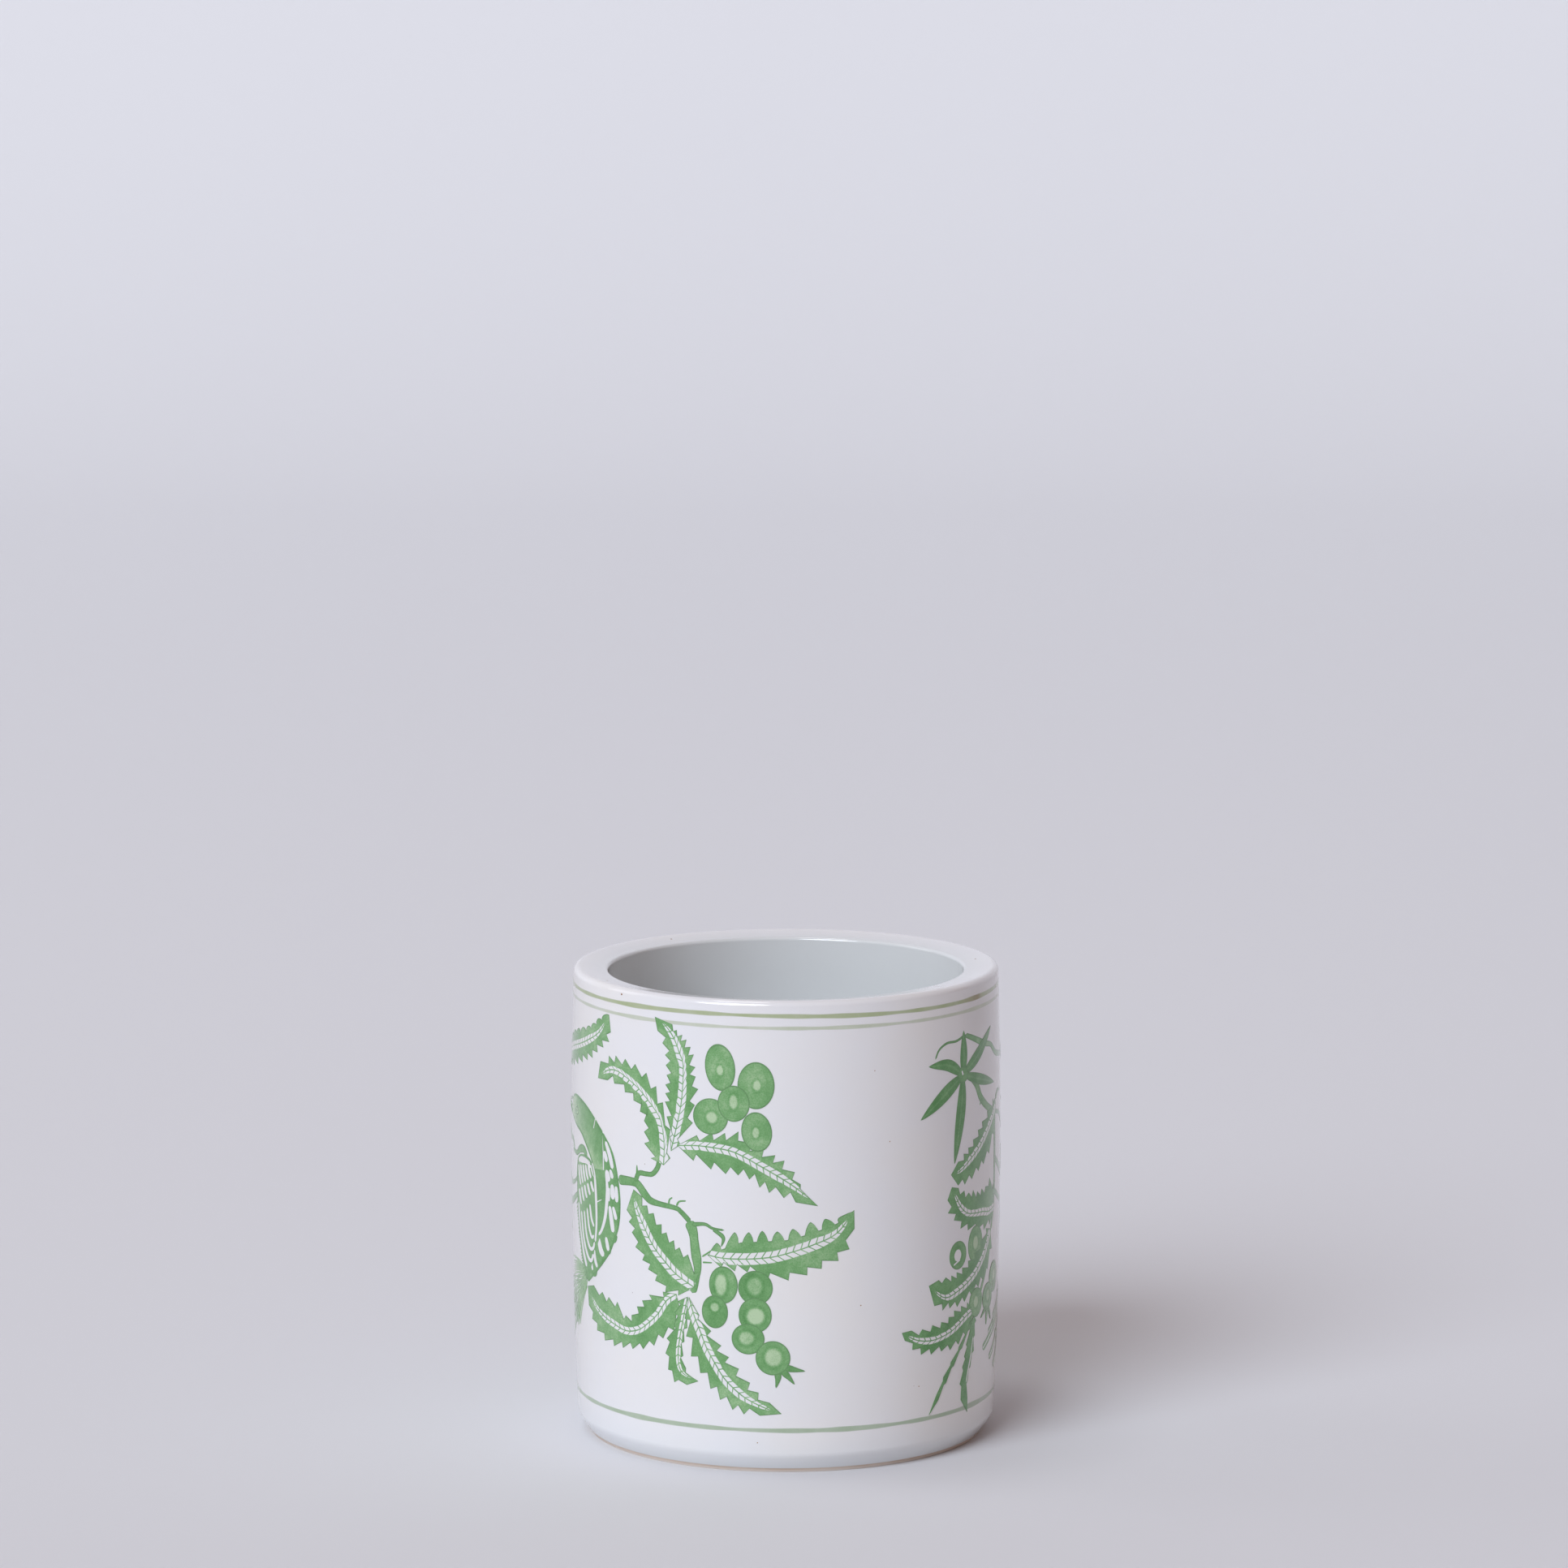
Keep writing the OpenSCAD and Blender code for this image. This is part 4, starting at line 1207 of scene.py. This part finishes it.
def hanging_spray() -> Motif:
    """Toothed leaves and berries that hang from the trunk behind the bird."""
    shapes: list[Shape] = [
        Stroke([(79, 96.5), (78.4, 90), (78.6, 82), (78.4, 73), (77.5, 66), (75.5, 60)],
               (1.6, 1.8, 1.7, 1.6, 1.4), 0.36),
        Stroke([(75, 60.5), (72.5, 52), (68.5, 45), (63.4, 38)], (1.2, 1.4, 1.2), 0.36),
        Stroke([(79.5, 96.2), (82.5, 98.2), (87, 97.5)], (1.5, 1.1, 0.7), 0.36),
        ToothedLeaf(midrib=[(79.5, 94.6), (73.9, 90.6), (66.4, 85.6), (61, 82.9), (55.6, 80.3), (51.4, 79.8)],
                    left=[(76.5, 96.8), (71.5, 94.2), (67.6, 92), (65, 90.1), (62.1, 87.9), (59.5, 86.1),
                          (57.2, 84.8), (54.6, 83)],
                    right=[(77.5, 86.5), (73, 82), (68.7, 79.8), (65.3, 78.5), (61.5, 76.9), (57.8, 76),
                           (54.6, 76.3)],
                    channel=1.2, notch=1.6, tone=0.2),
        ToothedLeaf(midrib=[(78.5, 66.2), (73.5, 65.6), (68.1, 66.5), (63.1, 67), (58.9, 67.9), (55.3, 70.8),
                            (51.8, 76.3)], left=[(74, 61.6), (69.5, 61), (64.6, 61.9), (59.6, 62.8),
                                                 (55.9, 63.9), (52.8, 66.8), (50.2, 69.2), (50, 72.9)],
                    right=[(77, 72.6), (73.7, 75), (70.4, 73.2), (67.6, 73.1), (64.8, 72.9), (62.3, 73.7),
                           (59.9, 73.4), (57.6, 74.4), (54.8, 75.6)], channel=1.1, notch=1.7, tone=0.2),
        Berry((64.1, 58.1), (4.2, 5.3), (64, 58.6), (1.3, 1.8)),
        ToothedLeaf(midrib=[(74.6, 60.4), (72.4, 57.4), (69.9, 54.2), (63.4, 49.6), (54.9, 46.4), (49, 45.7),
                            (43, 49.9)], left=[(76.6, 54.4), (72.9, 49.2), (69.3, 46.9), (66.3, 45.4),
                                               (62.2, 44), (58.4, 42.8), (54.9, 42), (51.5, 42.2),
                                               (48.5, 42.1), (45.2, 43.9)], right=[(71, 61.2), (67, 58),
                                                                                   (63.3, 55.7), (60, 54.1),
                                                                                   (57, 52.7), (54.4, 51.9),
                                                                                   (52, 51.4), (49.6, 51.3),
                                                                                   (46.8, 51)], channel=1.15,
                    notch=1.6, tone=0.2),
        Berry((55, 56.6), (3.9, 4), (54.8, 56.6), (1.5, 1.8), 0, 0.3, 0.5),
        Stroke([(54.9, 58.3), (54.6, 54.9)], (2.6, 3.2, 2.6), 1, True),
        Stroke([(52.9, 54.1), (55.8, 55.2)], (0.45, 0.4), 1, True),
        Berry((79, 46), (4.4, 4.5), (79.2, 46.4), (1.4, 1.6)), Berry((65, 41.4), (4, 4.2),
                                                                         (64.8, 41.6), (1.2, 1.5)),
        Berry((73.4, 41.4), (4, 4), (73.5, 41.8), (1.3, 1.5)),
        Stroke([(72.6, 38.6), (70.5, 37.6), (68.3, 36.2)], (1.5, 1.2, 0.3)), Stroke([(73.2, 38), (72.9, 36),
                                                                                     (72.7, 33.5)],
                                                                                    (1.6, 1.3, 0.3)),
        Stroke([(74.2, 38.4), (75.6, 36.4), (76.8, 34.2)], (1.5, 1.2, 0.3)),
        ToothedLeaf(midrib=[(62.6, 39.6), (59.1, 38.5), (55.2, 36.7), (51.3, 35.3), (45, 34.3), (39, 35.2),
                            (33.8, 37.9)], left=[(62.6, 35.6), (59.4, 33.2), (55.8, 31.2), (52, 30.3),
                                                 (48.3, 30.6), (44.2, 30.4), (40.5, 30.9), (37.4, 32.7),
                                                 (34.8, 35.6)], right=[(60, 42.3), (56.8, 41.9),
                                                                       (53.5, 41.2), (51.2, 39.8),
                                                                       (48.1, 38.9), (44.6, 38.6), (40.8, 38),
                                                                       (37, 38.2)], channel=1.05, notch=1.5,
                    tone=0.2),
        ToothedLeaf(midrib=[(62.6, 37.6), (58.4, 31.9), (54.9, 28.1), (51.3, 24.2), (48.8, 20.6),
                            (44, 13.2)], left=[(59.6, 34.2), (56.2, 30.4), (52.6, 26.8), (49.4, 23),
                                                 (46.6, 18.2)], right=[(61.6, 34.6), (57.6, 29.8),
                                                                       (53.8, 25.4), (50.6, 21.2),
                                                                       (47.6, 17)], channel=0.02, notch=0.5,
                    tone=0.2),
        ToothedLeaf(midrib=[(63.7, 38), (63, 31), (61.6, 25), (60, 19), (61.4, 10.9)],
                    left=[(61.4, 34.8), (59.9, 30.3), (59, 27.1), (58.2, 24.2), (57.1, 19.6), (57.9, 15)],
                    right=[(65.2, 36.2), (64.6, 32.1), (64.2, 27.8), (62.4, 23.5), (61.1, 19.9), (61.3, 15)],
                    channel=0.02, notch=0.7, tone=0.2),
        Stroke([(63.5, 32), (62.5, 27), (61, 22.4), (60.3, 19.5)], (0.3, 0.55, 0.5), 1, True),
    ]
    return Motif("hanging_spray", shapes, -HALF_TURN)


# ---------------------------------------------------------------- sub-assemblies

def dress(piece: bpy.types.Object, material: bpy.types.Material, slot: str, *nodes: str) -> bpy.types.Object:
    """Gives a piece its finish and its body, and hides the CAD nodes that it stands for."""
    piece.data.materials.clear()
    piece.data.materials.append(material)
    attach(piece, "root")
    if nodes:
        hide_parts(*nodes)
    LOG.info("%s: %d faces", piece.name, len(piece.data.polygons))
    return piece


@dataclass(frozen=True)
class Band:
    """A brushed line round the wall, a little out of level and uneven in width.

    Its height is the mean, less a tilt by the angle's sine, plus a sway that rises three times round the pot.
    Its half width swells and thins by three quicker sines.
    """

    node: str
    z: float
    width: float
    tilt: float
    sway: float
    finish: LineLook
    slot: str
    burn_at: float | None = None
    around: int = 480
    # The section's points: share of the half width, and height over the glaze in mm
    section: Points = ((-1, 0.03), (-0.6, 0.03), (0, 0.03), (0.6, 0.03), (1, 0.03),
                       (1, -0.05), (0, -0.05), (-1, -0.05))

    def build(self, form: PotForm) -> bpy.types.Object:
        """Lays the band on the glaze as a closed ring with a thin square section."""
        a = full_turn(self.around)[:, None]
        middle = self.z - self.tilt * np.sin(a) + self.sway * np.cos(3 * a + 0.75)
        swell = 1 + 0.13 * np.sin(7 * a) + 0.1 * np.sin(17 * a + 2) + 0.06 * np.sin(31 * a)
        half = 0.5 * self.width * swell
        v, lift = np.array(self.section, float).T[:, None]
        z = middle + half * v
        points = form.place(a + 0 * v, form.wall(z) + lift, z)
        edge = half * (1 - np.abs(v))
        burn = np.zeros_like(edge)
        if self.burn_at is not None:
            gap = np.angle(np.exp(1j * (a - self.burn_at))) * DRAWN_R
            scorch = 0.85 * np.exp(-(gap / 2.2) ** 2) + 0.45 * np.exp(-((gap + 4) / 4) ** 2)
            burn = burn + np.clip(scorch, 0, 0.9)
        shell = Shell(f"{self.node}_band")
        values = np.stack([edge, burn, 0 * edge], -1)
        faces = grid_faces(self.around, len(self.section), closed_rows=True, closed_cols=True)[:, ::-1]
        shell.add(points, faces, values, values)
        return dress(shell.mesh_object(), self.finish.material(), self.slot, self.node)


@dataclass
class TurnedPot:
    """The thrown porcelain and its glaze."""

    form: PotForm
    glaze: GlazeLook
    clay: ClayLook
    # Steps round the axis: of the glaze on the wall, and of the pieces under it
    around: int = 320
    around_under: int = 256

    def coat_piece(self) -> bpy.types.Object:
        """One glaze coat over the wall, the rim and the well, closed underneath against the clay."""
        face = self.form.outer_profile()
        under = face + left_of(face) * self.form.coat
        under[-1, 0] = 0.0
        under[0] = face[0] + (-0.02, 0.05)
        loop = np.vstack([face, under[::-1][::2], under[:1]])
        piece = turned("glaze_coat", self.form, loop, self.around, closed=True)
        return dress(piece, self.glaze.material(), "glaze", "outer_glaze", "inner_glaze")

    def body_piece(self) -> bpy.types.Object:
        """The clay under the glaze, with the turned foot ring, its eased edges and the recess."""
        form = self.form
        ridge = float(form.wall(np.array(form.bevel_h))) - form.coat
        foot = ridge - form.bevel_in
        ring = foot + form.coat - form.ring_w
        side = np.linspace(form.bevel_h + 0.5, form.shoulder_z, 24)
        well, low = form.well_r + form.coat, form.floor_z - form.coat
        shoulder = form.radius - form.rim_draw
        # Rounds of the recess's corner, of the ring's inner edge and of its outer edge
        deep, inner, outer = 1.2, 0.35, 0.3
        profile = np.vstack([
            [(0.0, form.recess), (25.0, form.recess), (ring - deep, form.recess)],
            arc(ring - deep, form.recess - deep, deep, 90, 0, 5)[1:],
            arc(ring + inner, inner, inner, 180, 270, 4),
            arc(foot - outer, outer, outer, 270, 350, 5),
            [(foot + form.bevel_in * form.bare_h / form.bevel_h, form.bare_h), (ridge, form.bevel_h)],
            np.stack([form.wall(side) - form.coat, side], -1),
            arc(shoulder - form.rim_outer, form.shoulder_z, form.rim_outer - form.coat, 0, 90, 6)[1:],
            arc(form.well_r + form.rim_inner, form.well_top, form.rim_inner - form.coat, 90, 180, 6),
            [(well, 70.0)],
            arc(well - form.corner, low + form.corner, form.corner, 360, 270, 6),
            [(0.0, low)],
        ])
        piece = turned("porcelain_clay", form, profile, self.around_under, closed=False)
        return dress(piece, self.clay.material(), "porcelain", "porcelain_body")

    def base_piece(self) -> bpy.types.Object:
        """The disc of glaze under the floor, with a rolled edge."""
        low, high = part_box("base_glaze")
        edge, top, bottom = high.x / MM, high.z / MM, low.z / MM
        profile = np.vstack([
            [(0.0, bottom), (20.0, bottom), (40.0, bottom)],
            arc(edge - 0.15, (top + bottom) / 2, (top - bottom) / 2, 270, 450, 8),
            [(20.0, top), (0.0, top)],
        ])
        piece = turned("base_glaze_disc", self.form, profile, self.around_under, closed=False)
        return dress(piece, self.glaze.material(), "glaze", "base_glaze")


@dataclass
class TransferPrint:
    """The green print, cut once and laid on opposite sides of the pot."""

    form: PotForm
    look: PrintLook

    def build(self) -> None:
        """Lays every motif twice, half a turn apart."""
        finish = self.look.material()
        for motif in (bird(), upper_spray(), lower_spray(), bamboo(), hanging_spray()):
            for suffix, turn in (("a", 0.0), ("b", math.pi)):
                piece = motif.build(self.form, suffix, turn)
                dress(piece, finish, "green_print", f"{motif.node}_{suffix}")


@dataclass
class IronSpots:
    """Small iron spots in the glaze, each an oval film with a domed edge."""

    form: PotForm
    look: SpeckLook
    # Each spot: way round the wall and height in mm, and its two half sizes
    wall_spots: Sequence[tuple[float, float, float, float]] = (
        (-51.7, 130.3, 0.3, 0.26), (21.0, 47.0, 0.18, 0.16), (29.5, 92.0, 0.15, 0.15),
        (-8.0, 9.0, 0.17, 0.15), (100.0, 121.0, 0.2, 0.2), (150.0, 60.0, 0.2, 0.18), (-140.0, 33.0, 0.18, 0.2),
        (-100.0, 9.5, 0.22, 0.2), (40.0, 22.0, 0.14, 0.16), (25.0, 112.0, 0.14, 0.14),
    )
    # Each spot on the flat of the rim: angle in degrees, radius in mm, half size
    rim_spots: Sequence[tuple[float, float, float]] = (
        (-143.0, 54.3, 0.35), (-63.0, 55.3, 0.22), (100.0, 54.0, 0.3),
    )
    # A film's rings and the points of each, then its height in the middle, its fall to the edge, and its
    # depth, in mm
    rings: int = 6
    points: int = 24
    dome: float = 0.045
    fall: float = 0.02
    depth: float = 0.06

    def lay(self, shell: Shell, turn: float, r: float, z: float, sizes: Point, flat: bool) -> None:
        """Adds one film, whose height over the surface falls as the square of a ring's share of the size.

        Args:
            shell: The mesh that takes it.
            turn: Angle from the front, in radians.
            r: Radius.
            z: Height.
            sizes: Half sizes across and up.
            flat: Whether it lies on the rim's flat and not on the wall.
        """
        across = np.array([math.cos(turn), math.sin(turn), 0.0])
        outward, upward = np.array([math.sin(turn), -math.cos(turn), 0.0]), np.array([0, 0, 1.0])
        up, out = (-outward, upward) if flat else (upward, outward)
        centre = self.form.place(np.array(turn), np.array(r), np.array(z)) / MM
        rings, a = np.linspace(0, 1, self.rings)[:, None, None], full_turn(self.points)[None, :, None]
        disc = rings * (np.cos(a) * sizes[0] * across + np.sin(a) * sizes[1] * up)
        front = centre + disc + out * (self.dome - self.fall * rings ** 2)
        back = centre + disc * 0.98 - out * self.depth
        edge = np.broadcast_to((1 - rings[..., 0]) * min(sizes), (self.rings, self.points))
        values = np.stack([edge, 0 * edge, 0 * edge], -1)
        both = np.stack([values, values])
        shell.add(np.stack([front, back]) * MM, disc_faces(self.rings, self.points)[:, ::-1], both, both)

    def build(self) -> bpy.types.Object:
        """All the spots as one piece."""
        shell = Shell("iron_spots")
        for s, z, wide, tall in self.wall_spots:
            self.lay(shell, s / DRAWN_R, float(self.form.wall(np.array(z))), z, (wide, tall), False)
        for degrees, r, size in self.rim_spots:
            z = float(self.form.rim_flat(np.array(r)))
            self.lay(shell, math.radians(degrees), r, z, (size, size), True)
        return dress(shell.mesh_object(), self.look.material(), "glaze")


# ---------------------------------------------------------------- studio

@dataclass(frozen=True)
class Studio:
    """Paper sweep, soft lights and the camera."""

    paper: PaperLook
    lens: float = 110.0
    sensor: float = 24.0
    pitch: float = 8.869
    eye: tuple[float, float, float] = (-0.00053, -1.9729, 0.4902)
    # Colour and strength of the air that lights the pot, and of what the camera sees of it past the paper
    fill: tuple[str, float] = ("#FFD8CC", 0.24)
    beyond: tuple[str, float] = ("#CFCED6", 1.0)

    def sweep(self) -> bpy.types.Object:
        """Floor and backdrop as one sheet: flat, then a quarter circle up, then upright."""
        front, depth, radius, width, top = -4, 2.2, 1.6, 7.0, 5.0
        bend = np.radians(np.linspace(-90, 0, 33))
        level = np.linspace(front, depth, 12)[:-1]
        y = np.concatenate([level, depth + radius * np.cos(bend), [depth + radius]])
        z = np.concatenate([0 * level, radius + radius * np.sin(bend), [top]])
        x = np.linspace(-width, width, 9)
        points = np.stack(np.broadcast_arrays(x[None, :], y[:, None], z[:, None]), -1)
        floor = finished(bare_piece("paper_sweep", points, grid_faces(len(y), len(x))))
        floor.data.materials.append(self.paper.material())
        return floor

    def lights(self) -> None:
        """A broad cool key from the front left, a window on the backdrop, a bank overhead and a warm fill."""
        self.lamp("key_sky", "SUN", "#ECF4FF", 2.5, (-0.44, -0.70, 0.56), (0, 0, 0), angle=math.radians(36))
        self.lamp("left_window", "AREA", "#F2F5FF", 20.0, (-3.6, 1.2, 2.1), (-0.3, 3.7, 0.6), size=2.4)
        self.lamp("overhead_bank", "AREA", "#F6F7FF", 4.0, (-0.4, 0.1, 2.0), (0, 0, 0.1), size=0.5)
        world = bpy.data.worlds.new("studio_air")
        world.use_nodes = True
        tree = world.node_tree
        tree.nodes.clear()
        fill, seen = (add(tree, "Background", {"Color": linear(colour), "Strength": strength}).outputs[0]
                      for colour, strength in (self.fill, self.beyond))
        to_camera = add(tree, "LightPath", {}).outputs["Is Camera Ray"]
        both = add(tree, "MixShader", {0: to_camera, 1: fill, 2: seen}).outputs[0]
        add(tree, "OutputWorld", {"Surface": both})
        bpy.context.scene.world = world

    def lamp(self, name: str, kind: str, colour: str, energy: float, at: tuple, to: tuple,
             **shape: float) -> None:
        """Puts a light at a place, facing a point.

        Args:
            name: The light's name.
            kind: Its type.
            colour: Its sRGB hex colour.
            energy: Its strength, in watts, or in watts to the square metre for a sun.
            at: Where it stands, in metres.
            to: The point that it faces.
            **shape: Its size in metres, or its angle in radians.
        """
        data = bpy.data.lights.new(name, kind)
        data.energy, data.color = energy, linear(colour)[:3]
        for key, value in shape.items():
            setattr(data, key, value)
        lamp = bpy.data.objects.new(name, data)
        bpy.context.scene.collection.objects.link(lamp)
        lamp.location = at
        aim = np.array(to) - np.array(at)
        level = math.hypot(aim[0], aim[1])
        lamp.rotation_euler = (math.atan2(level, -aim[2]), 0, math.atan2(aim[1], aim[0]) - math.pi / 2)

    def camera(self) -> None:
        """The camera, set a little above the pot and looking slightly down past it."""
        data = bpy.data.cameras.new("studio_camera")
        data.lens, data.sensor_width, data.sensor_fit = self.lens, self.sensor, "HORIZONTAL"
        camera = bpy.data.objects.new("studio_camera", data)
        bpy.context.scene.collection.objects.link(camera)
        camera.location = self.eye
        camera.rotation_euler = (math.radians(90 - self.pitch), 0, 0)
        bpy.context.scene.camera = camera


def middle_and_width(node: str) -> tuple[float, float]:
    """Height of the middle of a CAD band, and its width, in millimetres."""
    low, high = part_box(node)
    return (low.z + high.z) / 2 / MM, (high.z - low.z) / MM


def main() -> None:
    """Builds the pot's pieces in order, then the studio."""
    logging.basicConfig(level=logging.INFO, format="%(message)s")
    low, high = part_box("outer_glaze")
    form = PotForm(radius=high.x / MM, height=high.z / MM)
    glaze = GlazeLook()
    pot = TurnedPot(form, glaze, ClayLook())
    pot.coat_piece()
    pot.body_piece()
    pot.base_piece()
    olive = LineLook("olive_band_under_glaze", glaze, "#A3B086", "#B6BEA2")
    pale = LineLook("pale_band_under_glaze", glaze, "#BDC5B0", "#CCD1C4")
    grey_green = LineLook("grey_green_band_under_glaze", glaze, "#A0B398", "#B4C1AE")
    for node, tilt, sway, finish, slot, burn_at in (
        ("rim_line_upper", 0.25, 0.28, olive, "olive_line", 65.5 / DRAWN_R),
        ("rim_line_lower", 0.15, 0.08, pale, "pale_line", None),
        ("foot_line", 0.05, 0.06, grey_green, "grey_green_line", None),
    ):
        Band(node, *middle_and_width(node), tilt, sway, finish, slot, burn_at).build(form)
    TransferPrint(form, PrintLook(glaze)).build()
    IronSpots(form, SpeckLook()).build()
    studio = Studio(PaperLook())
    studio.sweep()
    studio.lights()
    studio.camera()
    bpy.context.scene.view_settings.view_transform = "Standard"


if __name__ == "__main__":
    main()
